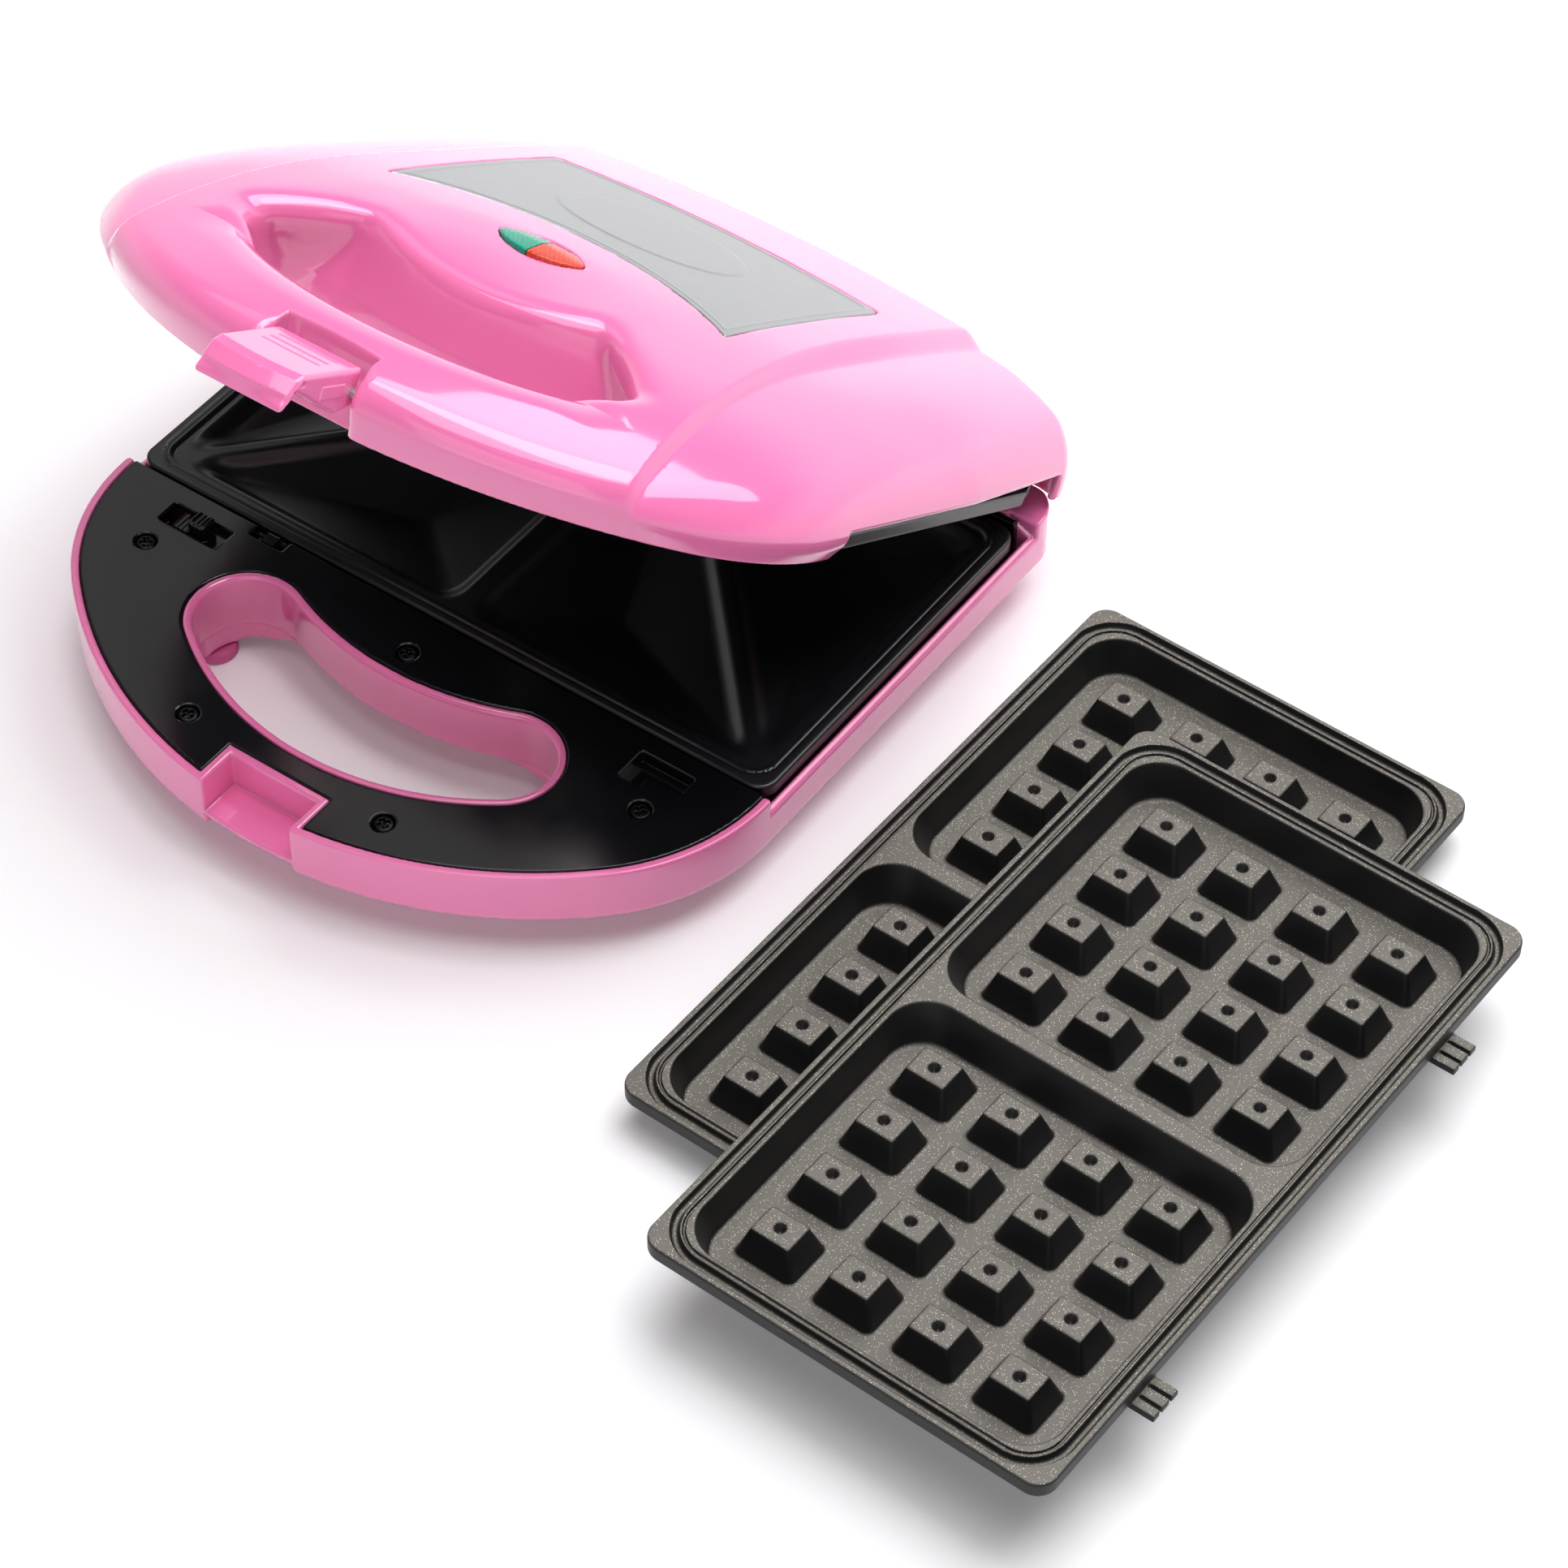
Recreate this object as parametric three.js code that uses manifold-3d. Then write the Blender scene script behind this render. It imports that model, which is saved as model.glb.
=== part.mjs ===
// Two-square waffle maker: base, hinged lid and a second pair of plates, in millimetres, +Z up.
// The base's sandwich plate has its front edge at y = 0 while the set is modelled, x = 0 is the middle.
import * as THREE from 'three';
import { mergeVertices } from 'three/addons/utils/BufferGeometryUtils.js';
import Module from 'manifold-3d';

const wasm = await Module();
wasm.setup();

// Shared clearances and counts
const GAP = 0.3;
const OVERRUN = 2;
const ROUND_SIDES = 16;
const CORNER_STEPS = 3;
const SHOULDER_STEPS = 8;

// Heights of the main planes above the table
const PARTING_Z = 31;
const RIM_GAP = 0.5;

// Removable plates: the sandwich pair in the appliance and the waffle pair beside it
const plate = {
  length: 230,
  width: 128.3,
  cornerRadius: 6,
  flangeHeight: 5.3,
  panInset: 7,
  depth: 14.4,
  facingGap: 0.2,
  tabInset: 44,
  tabWidth: 11,
  tabReach: 3.6,
  tabThickness: 2.6,
  clipInset: 54.3,
  clipWidth: 5,
  clipReach: 0.9,
  clipThickness: 2,
};

const plateEnd = plate.length / 2;

// How far the pieces round a plate stand off its ends and its rear edge
const standOff = {
  housing: 3,
  pan: 3,
  frame: 3,
  panRear: 8.7,
  cavityRear: 4.4,
  frameRear: 2,
  hinge: 13.7,
  lowerCutRear: 5.7,
  upperCutRear: 9.7,
};

// Outline of base and lid, seen from above
const body = {
  halfWidth: plateEnd + standOff.housing,
  front: -89.77,
  frontBow: 20.77,
  cornerRadius: 67,
  rearCornerRadius: 12,
  wall: 2.6,
};

// Hinge at the back
const hinge = {
  y: plate.width + standOff.hinge,
  z: 27,
  barrelRadius: 6.5,
  clearance: 0.6,
  armRadius: 5.4,
  armWidth: 12,
  armInset: 33,
  pinRadius: 2,
  pinLength: 28,
  openInPhoto: 31.6,
};

// Low housing round the plate
const base = {
  handleBandBottom: 15,
  bandDraft: 3,
  bandDraftHeight: 4,
  floorZ: 4.2,
  floor: 2.4,
  panHalfWidth: plateEnd - standOff.pan,
  panFront: -10,
  panRear: plate.width + standOff.panRear,
  panCorner: 14,
  panDraft: 5,
  cavityRear: plate.width + standOff.cavityRear,
  sideCutTop: 24.5,
  sideCutFront: -0.8,
  sideCutRear: plate.width + standOff.lowerCutRear,
};

// Grip opening, the same in base and lid
const grip = {
  capInset: 68,
  capY: -32,
  capRadius: 15.5,
  frontCentreY: 30,
  rearCentreY: 76.2,
  lip: 2.5,
  lidFlare: 4.5,
  skirtBottom: 5,
  archTop: 18,
  archHalfSpan: 50,
};

// Notch for the latch at the front of both halves
const notchInset = 14.77;
const notch = {
  halfWidth: 18,
  backY: body.front + notchInset,
  floorTop: 18,
  floorBottom: 16,
};

// Lid shell
const lid = {
  top: 73.8,
  crownCentreY: 60,
  noseRun: 155,
  noseFall: 24.5,
  noseRounding: 3,
  rearCrownRadius: 1400,
  sideCrownRadius: 760,
  wingWidth: 42.7,
  shoulderY: 65,
  shoulderFlareRadius: 600,
  shoulderStep: 2,
  wingFall: 9,
  noseReach: 5,
  edgeInset: 6,
  edgeDrop: 2.2,
  sideCutTop: 37.5,
  sideCutFront: 1,
  sideCutRear: plate.width + standOff.upperCutRear,
};

// Trim panel that covers the front of each half and frames its plate
const panel = {
  top: 30.4,
  thickness: 2.4,
  edge: 2.9,
  frameHalfWidth: plateEnd - standOff.frame,
  frameFront: 1.5,
  frameRear: plate.width + standOff.frameRear,
  frameWall: 2,
  plateGap: 0.9,
  slotGap: 0.45,
  screwPadRadius: 5.2,
  screwPadDepth: 2,
};

// Screws that hold the trim panels
const screw = {
  headRadius: 3.1,
  headHeight: 1.9,
  seatRadius: 3.6,
  seatDepth: 2.1,
  shankRadius: 1.4,
  shankLength: 9,
  slotWidth: 0.9,
  slotLength: 3.8,
  slotDepth: 1.1,
  bossRadius: 4.2,
  sideInset: 27.7,
  sideY: -25.3,
  frontX: 35.5,
  frontInset: 18.77,
  middleY: -15.8,
};
const screwSideX = body.halfWidth - screw.sideInset;
const screwFrontY = body.front + screw.frontInset;
const screwPlaces = [
  { x: -screwSideX, y: screw.sideY },
  { x: -screw.frontX, y: screwFrontY },
  { x: 0, y: screw.middleY },
  { x: screw.frontX, y: screwFrontY },
  { x: screwSideX, y: screw.sideY },
];

// Release slider of each half: slot at one side, pocket for the other half's knob at the other
const slider = {
  slotInset: 21.5,
  slotWidth: 21.8,
  slotFront: -16,
  slotBack: -7.6,
  knobWidth: 10,
  knobInset: 34.9,
  knobDepth: 7.4,
  knobRise: 3.4,
  ribs: 4,
  ribWidth: 1.1,
  ribDepth: 0.8,
  barThickness: 2.2,
  clipInset: 52,
  clipWidth: 8,
  clipFront: -5.7,
  travel: 4,
  pocketDepth: 5,
  pocketMargin: 2.4,
  springRadius: 1.9,
  springWire: 0.5,
  springTurns: 5,
  stopInset: 8.6,
};

// Heating parts of each half, and how far inside the plate's ends and rear edge they lie
const heatInset = {
  reflectorSide: 17,
  reflectorRear: 7.3,
  loopSide: 37,
  loopRear: 26.3,
  lead: 14.3,
  staySide: 27,
  stayRear: 18.3,
};
const heat = {
  reflectorHalfWidth: plateEnd - heatInset.reflectorSide,
  reflectorFront: 9,
  reflectorRear: plate.width - heatInset.reflectorRear,
  reflectorSheet: 0.8,
  reflectorLip: 4,
  reflectorZ: 8.4,
  tubeRadius: 3.2,
  loopHalfWidth: plateEnd - heatInset.loopSide,
  loopFront: 28,
  loopRear: plate.width - heatInset.loopRear,
  loopCorner: 16,
  leadSpread: 22,
  leadEnd: plate.width - heatInset.lead,
  stayRadius: 3.5,
  stayX: plateEnd - heatInset.staySide,
  stayFront: 20,
  stayRear: plate.width - heatInset.stayRear,
  statRadius: 8,
  statHeight: 4.4,
  statCapRadius: 6,
  statCapHeight: 1.6,
  statX: 34,
  statY: 64,
  fuseRadius: 2,
  fuseLength: 13,
  fuseY: 64,
  blockHalfWidth: 13,
  blockDepth: 9,
  blockHeight: 6,
  blockHoleRadius: 1.5,
  blockHolePitch: 8,
};

// Feet and mains inlet
const foot = {
  radius: 7,
  height: 4,
  edge: 1,
  spigotRadius: 2.6,
  spigotHeight: 3.4,
  frontOutset: 19,
  frontY: -26,
  rearInset: 27,
  rearSetback: 10.3,
  legRadius: 8,
};
const gland = {
  x: 0,
  z: 11.5,
  radius: 4.2,
  flangeRadius: 6,
  flangeDepth: 2.4,
  innerLength: 5,
  boreRadius: 2.2,
};

// Steel badge, indicator lens and lamps on the lid
const badge = {
  shoulderGap: 16.3,
  front: 16.5,
  waist: 32.5,
  backSetback: 22.1,
  cornerRadius: 3,
  thickness: 0.8,
  seatDepth: 1.2,
};
const lens = {
  halfWidth: 14.6,
  halfDepth: 6.2,
  y: 6.5,
  rise: 1,
  depth: 4,
};
const lamp = {
  radius: 2.6,
  tipRadius: 1.6,
  length: 11,
  offsetX: 7,
  boardHalfWidth: 16,
  boardDepth: 12,
  boardThickness: 1.6,
  drop: 7,
  postRadius: 2.4,
};

// Latch on the lid's front, swung forward as photographed; reaches are ahead of the body's front
const latchReach = {
  pocket: -6.57,
  back: -1.17,
  pivot: 1.23,
  heel: 6.23,
  bend: 25.83,
  nose: 28.23,
  throat: 28.83,
  hookBack: 30.13,
  tip: 31.63,
};
const latch = {
  halfWidth: 14.7,
  wall: 2,
  pivotY: body.front - latchReach.pivot,
  pivotZ: 44.5,
  backY: body.front - latchReach.back,
  topZ: 50.8,
  bendY: body.front - latchReach.bend,
  noseY: body.front - latchReach.nose,
  noseZ: 49.9,
  tipY: body.front - latchReach.tip,
  tipZ: 45.8,
  hookBottomZ: 41,
  hookBackY: body.front - latchReach.hookBack,
  hookBackZ: 41.6,
  throatZ: 46.2,
  throatY: body.front - latchReach.throat,
  heelY: body.front - latchReach.heel,
  heelZ: 38.4,
  rearZ: 40,
  pinRadius: 1.5,
  sideGap: 0.8,
  pocketBack: body.front - latchReach.pocket,
  pocketWall: 2.4,
  grooveFirst: 5,
  groovePitch: 4,
  grooves: 3,
  grooveWidth: 0.7,
  grooveDepth: 0.5,
  grooveHalfLength: 9.5,
};

// Waffle plates that lie beside the appliance
const waffle = {
  depth: 15.1,
  cavityFloor: 3.2,
  cavityInset: 9.2,
  cavityCorner: 14,
  cavityDraft: 2.5,
  dividerHalfWidth: 9.5,
  rows: 4,
  edgeToPeg: 26.08,
  dividerToPeg: 11.5,
  endToPeg: 17.24,
  pegTopShort: 12.5,
  pegTopLong: 9,
  pegSlope: 3,
  pegDrop: 2.1,
  tabReach: 7,
  tabSlotWidth: 1.6,
  tabSlotPitch: 4.6,
  ridgeInset: 2.2,
  ridgeWidth: 1.2,
  grooveWidth: 1.5,
  grooveDepth: 0.8,
  housingGap: 21.55,
  backY: 14.7,
  backTurn: -1.75,
  crossShift: 42.9,
  frontY: -32.3,
  frontTurn: -1.94,
};

// Sandwich plate's triangular pockets
const pocket = {
  edge: 9.5,
  middle: 3,
  ridge: 4,
  cornerRadius: 8,
  rimDrop: 1.4,
  wallDepth: 4,
  apexDepth: 9.5,
  draft: 3,
};

// Sizes worked out from the ones above
const cornerX = body.halfWidth - body.cornerRadius;
const cornerCentreY = body.front + body.frontBow + body.cornerRadius;
const arcReach = (cornerX ** 2 + body.frontBow ** 2) / (2 * body.frontBow);
const frontRadius = arcReach + body.cornerRadius;
const frontCentreY = body.front + frontRadius;
const hingeX = plateEnd - hinge.armInset;
const tabX = plateEnd - plate.tabInset;
const clipX = plateEnd - plate.clipInset;
const capX = plateEnd - grip.capInset;
const shoulderX = body.halfWidth - lid.wingWidth;
const slotLeft = slider.slotInset - plateEnd;
const slotRight = slotLeft + slider.slotWidth;
const knobX = slider.knobInset - plateEnd;
const sliderClipX = slider.clipInset - plateEnd;
const stopX = slider.stopInset - plateEnd;
const footFrontX = capX + foot.frontOutset;
const footRearX = plateEnd - foot.rearInset;
const footRearY = plate.width - foot.rearSetback;
const badgeHalf = shoulderX - badge.shoulderGap;
const badgeBack = plate.width - badge.backSetback;
const pegSpanLong = plateEnd - waffle.cavityInset - waffle.dividerHalfWidth
  - waffle.dividerToPeg - waffle.endToPeg;
const wafflePitchLong = pegSpanLong / (waffle.rows - 1);
const wafflePitchShort = (plate.width - 2 * waffle.edgeToPeg) / (waffle.rows - 1);
const waffleFirst = waffle.dividerHalfWidth + waffle.dividerToPeg;
const waffleBackX = body.halfWidth + waffle.housingGap + plate.width / 2;
const waffleFrontX = waffleBackX + waffle.crossShift;
const baseRear = hinge.y + hinge.barrelRadius;
const lidRear = baseRear + hinge.clearance + body.wall;
const baseRim = PARTING_Z - RIM_GAP;
const lidRim = PARTING_Z + RIM_GAP;
const plateTop = PARTING_Z - plate.facingGap;
const flangeBottom = plateTop - plate.flangeHeight;
const panelBottom = panel.top - panel.thickness;
const bandFloorTop = base.handleBandBottom + base.floor;
const frameBottom = bandFloorTop + GAP;

// Materials
function finish(color, roughness, metalness) {
  return () => new THREE.MeshStandardMaterial({ color, roughness, metalness });
}
const pinkPlastic = finish(0xf79bc4, 0.18, 0);
const blackPlastic = finish(0x26272a, 0.45, 0);
const blackCoating = finish(0x17181b, 0.3, 0.1);
const bronzeCoating = finish(0x55504b, 0.45, 0.3);
const steel = finish(0xb9bbbd, 0.35, 1);
const screwSteel = finish(0x55585c, 0.4, 1);
const heaterSteel = finish(0x6a6660, 0.5, 0.9);
const ceramic = finish(0xe9e5dc, 0.6, 0);
const rubber = finish(0x2c2c2e, 0.85, 0);
const greenLens = finish(0x1fb58f, 0.15, 0);
const redLens = finish(0xe25a3c, 0.15, 0);
const lampGlass = finish(0xf2d9c8, 0.1, 0);

// Closed mesh to solid and back
function toSolid(geometry) {
  const plain = geometry.clone();
  plain.deleteAttribute('normal');
  plain.deleteAttribute('uv');
  const welded = mergeVertices(plain);
  return new wasm.Manifold(new wasm.Mesh({
    numProp: 3,
    vertProperties: new Float32Array(welded.attributes.position.array),
    triVerts: new Uint32Array(welded.index.array),
  }));
}

function toMesh(name, solid, material) {
  const cut = solid.getMesh();
  const geometry = new THREE.BufferGeometry();
  geometry.setAttribute('position', new THREE.BufferAttribute(new Float32Array(cut.vertProperties), 3));
  geometry.setIndex(new THREE.BufferAttribute(new Uint32Array(cut.triVerts), 1));
  geometry.computeVertexNormals();
  const mesh = new THREE.Mesh(geometry, material());
  mesh.name = name;
  return mesh;
}

function join(solids) {
  return solids.reduce((whole, piece) => whole.add(piece));
}

function cutAll(solid, tools) {
  return tools.reduce((rest, tool) => rest.subtract(tool), solid);
}

// Points along an arc, ends included
function arc(cx, cy, radius, from, to, steps) {
  return Array.from({ length: steps + 1 }, (_, i) => {
    const angle = from + ((to - from) * i) / steps;
    return new THREE.Vector2(cx + radius * Math.cos(angle), cy + radius * Math.sin(angle));
  });
}

// Points between two ends, ends left out
function between(start, end, steps) {
  return Array.from({ length: steps - 1 }, (_, i) => start.clone().lerp(end, (i + 1) / steps));
}

// D-shaped outline of the housings, drawn in by inset
function bodyOutline(inset, rear) {
  const joint = Math.atan2(cornerCentreY - frontCentreY, cornerX);
  const corner = body.cornerRadius - inset;
  const rearRadius = body.rearCornerRadius - inset;
  const rearX = body.halfWidth - body.rearCornerRadius;
  const rearY = rear - body.rearCornerRadius;
  const left = arc(-cornerX, cornerCentreY, corner, -Math.PI, -Math.PI - joint, 5);
  const front = arc(0, frontCentreY, frontRadius - inset, -Math.PI - joint, joint, 12);
  const right = arc(cornerX, cornerCentreY, corner, joint, 0, 5);
  const backRight = arc(rearX, rearY, rearRadius, 0, Math.PI / 2, CORNER_STEPS);
  const backLeft = arc(-rearX, rearY, rearRadius, Math.PI / 2, Math.PI, CORNER_STEPS);
  return [
    ...left,
    ...front.slice(1, -1),
    ...right,
    ...between(right.at(-1), backRight[0], 4),
    ...backRight,
    ...between(backRight.at(-1), backLeft[0], 6),
    ...backLeft,
    ...between(backLeft.at(-1), left[0], 4),
  ];
}

// Bean-shaped grip opening: round caps joined by a front and a rear arc
function gripOutline(grow) {
  const radius = grip.capRadius + grow;
  const frontReach = Math.hypot(capX, grip.capY - grip.frontCentreY);
  const rearReach = Math.hypot(capX, grip.rearCentreY - grip.capY);
  const frontAngle = Math.atan2(grip.capY - grip.frontCentreY, capX);
  const rearAngle = Math.atan2(grip.rearCentreY - grip.capY, -capX);
  const rearEdge = rearReach - radius;
  const front = arc(0, grip.frontCentreY, frontReach + radius, -Math.PI - frontAngle, frontAngle, 12);
  const right = arc(capX, grip.capY, radius, frontAngle, rearAngle, 8);
  const rear = arc(0, grip.rearCentreY, rearEdge, rearAngle - Math.PI, -rearAngle, 10);
  const left = right.map((point) => new THREE.Vector2(-point.x, point.y)).reverse();
  return [...front, ...right.slice(1), ...rear.slice(1, -1), ...left.slice(0, -1)];
}

// Rectangle with rounded corners
function roundedRectangle(x0, x1, y0, y1, radius) {
  return [
    ...arc(x0 + radius, y0 + radius, radius, -Math.PI, -Math.PI / 2, CORNER_STEPS),
    ...arc(x1 - radius, y0 + radius, radius, -Math.PI / 2, 0, CORNER_STEPS),
    ...arc(x1 - radius, y1 - radius, radius, 0, Math.PI / 2, CORNER_STEPS),
    ...arc(x0 + radius, y1 - radius, radius, Math.PI / 2, Math.PI, CORNER_STEPS),
  ];
}

// Convex polygon drawn in by inset, its corners rounded
function roundedPolygon(corners, inset, radius) {
  const count = corners.length;
  const edges = corners.map((corner, i) => corners[(i + 1) % count].clone().sub(corner).normalize());
  return corners.flatMap((corner, i) => {
    const before = edges[(i + count - 1) % count];
    const after = edges[i];
    const turn = Math.acos(before.dot(after));
    const back = (inset + radius) / Math.sin((Math.PI - turn) / 2);
    const inward = after.clone().sub(before).normalize();
    const centre = corner.clone().addScaledVector(inward, back);
    const start = Math.atan2(-before.x, before.y);
    return arc(centre.x, centre.y, radius, start, start + turn, CORNER_STEPS);
  });
}

// Solid between stacked rings with equal counts, closed by a point at each end
function loft(rings, bottomPoint, topPoint) {
  const count = rings[0].length;
  const points = [...rings.flat(), bottomPoint, topPoint];
  const bottom = points.length - 2;
  const top = points.length - 1;
  const faces = [];
  for (let i = 0; i < count; i += 1) {
    const next = (i + 1) % count;
    faces.push(bottom, next, i);
    for (let ring = 0; ring < rings.length - 1; ring += 1) {
      const low = ring * count;
      const high = low + count;
      faces.push(low + i, low + next, high + next, low + i, high + next, high + i);
    }
    const last = (rings.length - 1) * count;
    faces.push(last + i, last + next, top);
  }
  const geometry = new THREE.BufferGeometry().setFromPoints(points);
  geometry.setIndex(faces);
  return toSolid(geometry);
}

function ringAt(outline, z) {
  return outline.map((point) => new THREE.Vector3(point.x, point.y, z));
}

function middleOf(ring) {
  return ring.reduce((sum, point) => sum.add(point), new THREE.Vector3()).divideScalar(ring.length);
}

// Loft of flat outlines given as { outline, z }, from the lowest up
function stack(levels) {
  const rings = levels.map(({ outline, z }) => ringAt(outline, z));
  return loft(rings, middleOf(rings[0]), middleOf(rings.at(-1)));
}

// Straight prisms along Z, X and Y
function prism(outline, z0, z1) {
  const shape = new THREE.Shape(outline);
  const geometry = new THREE.ExtrudeGeometry(shape, { depth: z1 - z0, bevelEnabled: false });
  geometry.translate(0, 0, z0);
  return toSolid(geometry);
}

function prismAlongX(outlineYZ, x0, x1) {
  const shape = new THREE.Shape(outlineYZ.map(([y, z]) => new THREE.Vector2(y, z)));
  const geometry = new THREE.ExtrudeGeometry(shape, { depth: x1 - x0, bevelEnabled: false });
  geometry.applyMatrix4(new THREE.Matrix4().set(0, 0, 1, x0, 1, 0, 0, 0, 0, 1, 0, 0, 0, 0, 0, 1));
  return toSolid(geometry);
}

function block(x0, x1, y0, y1, z0, z1) {
  const geometry = new THREE.BoxGeometry(x1 - x0, y1 - y0, z1 - z0);
  geometry.translate((x0 + x1) / 2, (y0 + y1) / 2, (z0 + z1) / 2);
  return toSolid(geometry);
}

// Block on both sides of the middle
function sideBlocks(x0, x1, y0, y1, z0, z1) {
  return block(x0, x1, y0, y1, z0, z1).add(block(-x1, -x0, y0, y1, z0, z1));
}

function rod(radius, length, sides) {
  return new THREE.CylinderGeometry(radius, radius, length, sides);
}

function rodZ(x, y, z0, z1, radius, sides = ROUND_SIDES) {
  const geometry = rod(radius, z1 - z0, sides).rotateX(Math.PI / 2);
  geometry.translate(x, y, (z0 + z1) / 2);
  return toSolid(geometry);
}

function rodX(x0, x1, y, z, radius, sides = ROUND_SIDES) {
  const geometry = rod(radius, x1 - x0, sides).rotateZ(-Math.PI / 2);
  geometry.translate((x0 + x1) / 2, y, z);
  return toSolid(geometry);
}

function rodY(x, y0, y1, z, radius, sides = ROUND_SIDES) {
  const geometry = rod(radius, y1 - y0, sides);
  geometry.translate(x, (y0 + y1) / 2, z);
  return toSolid(geometry);
}

// Solid of revolution about a vertical axis, profile from the axis out and back
function turned(profile, x, y, z) {
  const geometry = new THREE.LatheGeometry(profile.map(([r, h]) => new THREE.Vector2(r, h)), ROUND_SIDES);
  geometry.rotateX(Math.PI / 2);
  geometry.translate(x, y, z);
  return toSolid(geometry);
}

// Height of the lid's raised middle, and of its lower wings
function crownHeight(x, y) {
  const nose = (Math.max(lid.crownCentreY - y, 0) / lid.noseRun) ** 3;
  const behind = Math.max(y - lid.crownCentreY, 0) ** 2 / (2 * lid.rearCrownRadius);
  const across = x ** 2 / (2 * lid.sideCrownRadius);
  return lid.top - lid.noseFall * nose - behind - across * (1 + lid.noseRounding * nose);
}

function shoulderAt(y) {
  return shoulderX + Math.max(lid.shoulderY - y, 0) ** 2 / (2 * lid.shoulderFlareRadius);
}

function wingHeight(x, y) {
  const shoulder = shoulderAt(y);
  const reach = Math.max(Math.abs(x) - shoulder, 0) / lid.wingWidth;
  return crownHeight(x, y) - lid.shoulderStep - lid.wingFall * reach ** 3;
}

// Lid form under a height function, its outline drawn in by inset and its roof lowered by drop
function lidForm(height, inset, drop) {
  const rim = bodyOutline(inset, lidRear);
  const nose = bodyOutline(inset - lid.noseReach, lidRear);
  const edge = bodyOutline(inset + lid.edgeInset, lidRear);
  const bottom = drop > 0 ? lidRim - OVERRUN : lidRim;
  const riseShares = [0.25, 0.65, 0.92];
  const reachShares = [0.75, 1, 0.4];
  const wallRing = (rise, reach) => rim.map((point, i) => {
    const fade = THREE.MathUtils.clamp((hinge.y - point.y) / body.cornerRadius, 0, 1);
    const spot = point.clone().lerp(nose[i], reach * fade);
    const topZ = height(point.x, point.y) - lid.edgeDrop - drop;
    return new THREE.Vector3(spot.x, spot.y, lidRim + (topZ - lidRim) * rise);
  });
  const roofRing = (share) => edge.map((point) => {
    const spot = point.clone().multiplyScalar(share);
    spot.y += grip.frontCentreY * (1 - share);
    return new THREE.Vector3(spot.x, spot.y, height(spot.x, spot.y) - drop);
  });
  const rings = [
    ringAt(rim, bottom),
    ...riseShares.map((rise, i) => wallRing(rise, reachShares[i])),
    ...[1, 0.78, 0.45].map(roofRing),
  ];
  const topPoint = new THREE.Vector3(0, grip.frontCentreY, height(0, grip.frontCentreY) - drop);
  return loft(rings, middleOf(rings[0]), topPoint);
}

// Space over one wing, outside the shoulder line
function wingSpace(side) {
  const far = body.halfWidth + 2 * lid.noseReach;
  const front = body.front - 2 * lid.noseReach;
  const rear = lidRear + OVERRUN;
  const stations = Array.from({ length: SHOULDER_STEPS + 1 }, (_, i) => (
    THREE.MathUtils.lerp(lid.shoulderY, front, i / SHOULDER_STEPS)
  ));
  const line = [rear, ...stations].map((y) => new THREE.Vector2(side * shoulderAt(y), y));
  const outline = [...line, new THREE.Vector2(side * far, front), new THREE.Vector2(side * far, rear)];
  return prism(outline, lidRim, lid.top + OVERRUN);
}

// Lid's outer form: raised middle with a lower wing at each side
function lidBody() {
  const wings = lidForm(wingHeight, -OVERRUN, 0);
  return cutAll(lidForm(crownHeight, 0, 0), [-1, 1].map((side) => wingSpace(side).subtract(wings)));
}

// Badge outline: straight back and sides, front edge bowed towards the back
function badgeOutline(grow) {
  const half = badgeHalf + grow;
  const bow = badge.waist - badge.front;
  const radius = (badgeHalf ** 2 + bow ** 2) / (2 * bow);
  const edgeRadius = radius - grow;
  const centreY = badge.waist - radius;
  const sweep = Math.asin(half / edgeRadius);
  const front = arc(0, centreY, edgeRadius, Math.PI / 2 + sweep, Math.PI / 2 - sweep, 12);
  const backY = badgeBack + grow;
  const corner = badge.cornerRadius;
  return [
    ...front,
    ...arc(half - corner, backY - corner, corner, 0, Math.PI / 2, CORNER_STEPS),
    ...arc(-half + corner, backY - corner, corner, Math.PI / 2, Math.PI, CORNER_STEPS),
  ];
}

// Eye-shaped lens outline from two crossing arcs
function lensOutline(grow) {
  const radius = (lens.halfWidth ** 2 + lens.halfDepth ** 2) / (2 * lens.halfDepth);
  const sweep = Math.asin(lens.halfWidth / radius);
  const drop = radius - lens.halfDepth;
  const lower = arc(0, lens.y + drop, radius + grow, -Math.PI / 2 - sweep, -Math.PI / 2 + sweep, 8);
  const upper = arc(0, lens.y - drop, radius + grow, Math.PI / 2 - sweep, Math.PI / 2 + sweep, 8);
  return [...lower, ...upper];
}

// Cross-slotted panel screw, its head's top at z
function panelScrew(x, y, z) {
  const headBottom = z - screw.headHeight;
  const head = rodZ(x, y, headBottom, z, screw.headRadius, 10);
  const shankEnd = headBottom - screw.shankLength;
  const shank = rodZ(x, y, shankEnd, headBottom + screw.headHeight / 2, screw.shankRadius, 6);
  const long = screw.slotLength / 2;
  const narrow = screw.slotWidth / 2;
  const slotBottom = z - screw.slotDepth;
  const slots = block(x - long, x + long, y - narrow, y + narrow, slotBottom, z + OVERRUN)
    .add(block(x - narrow, x + narrow, y - long, y + long, slotBottom, z + OVERRUN));
  return head.add(shank).subtract(slots);
}

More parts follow.
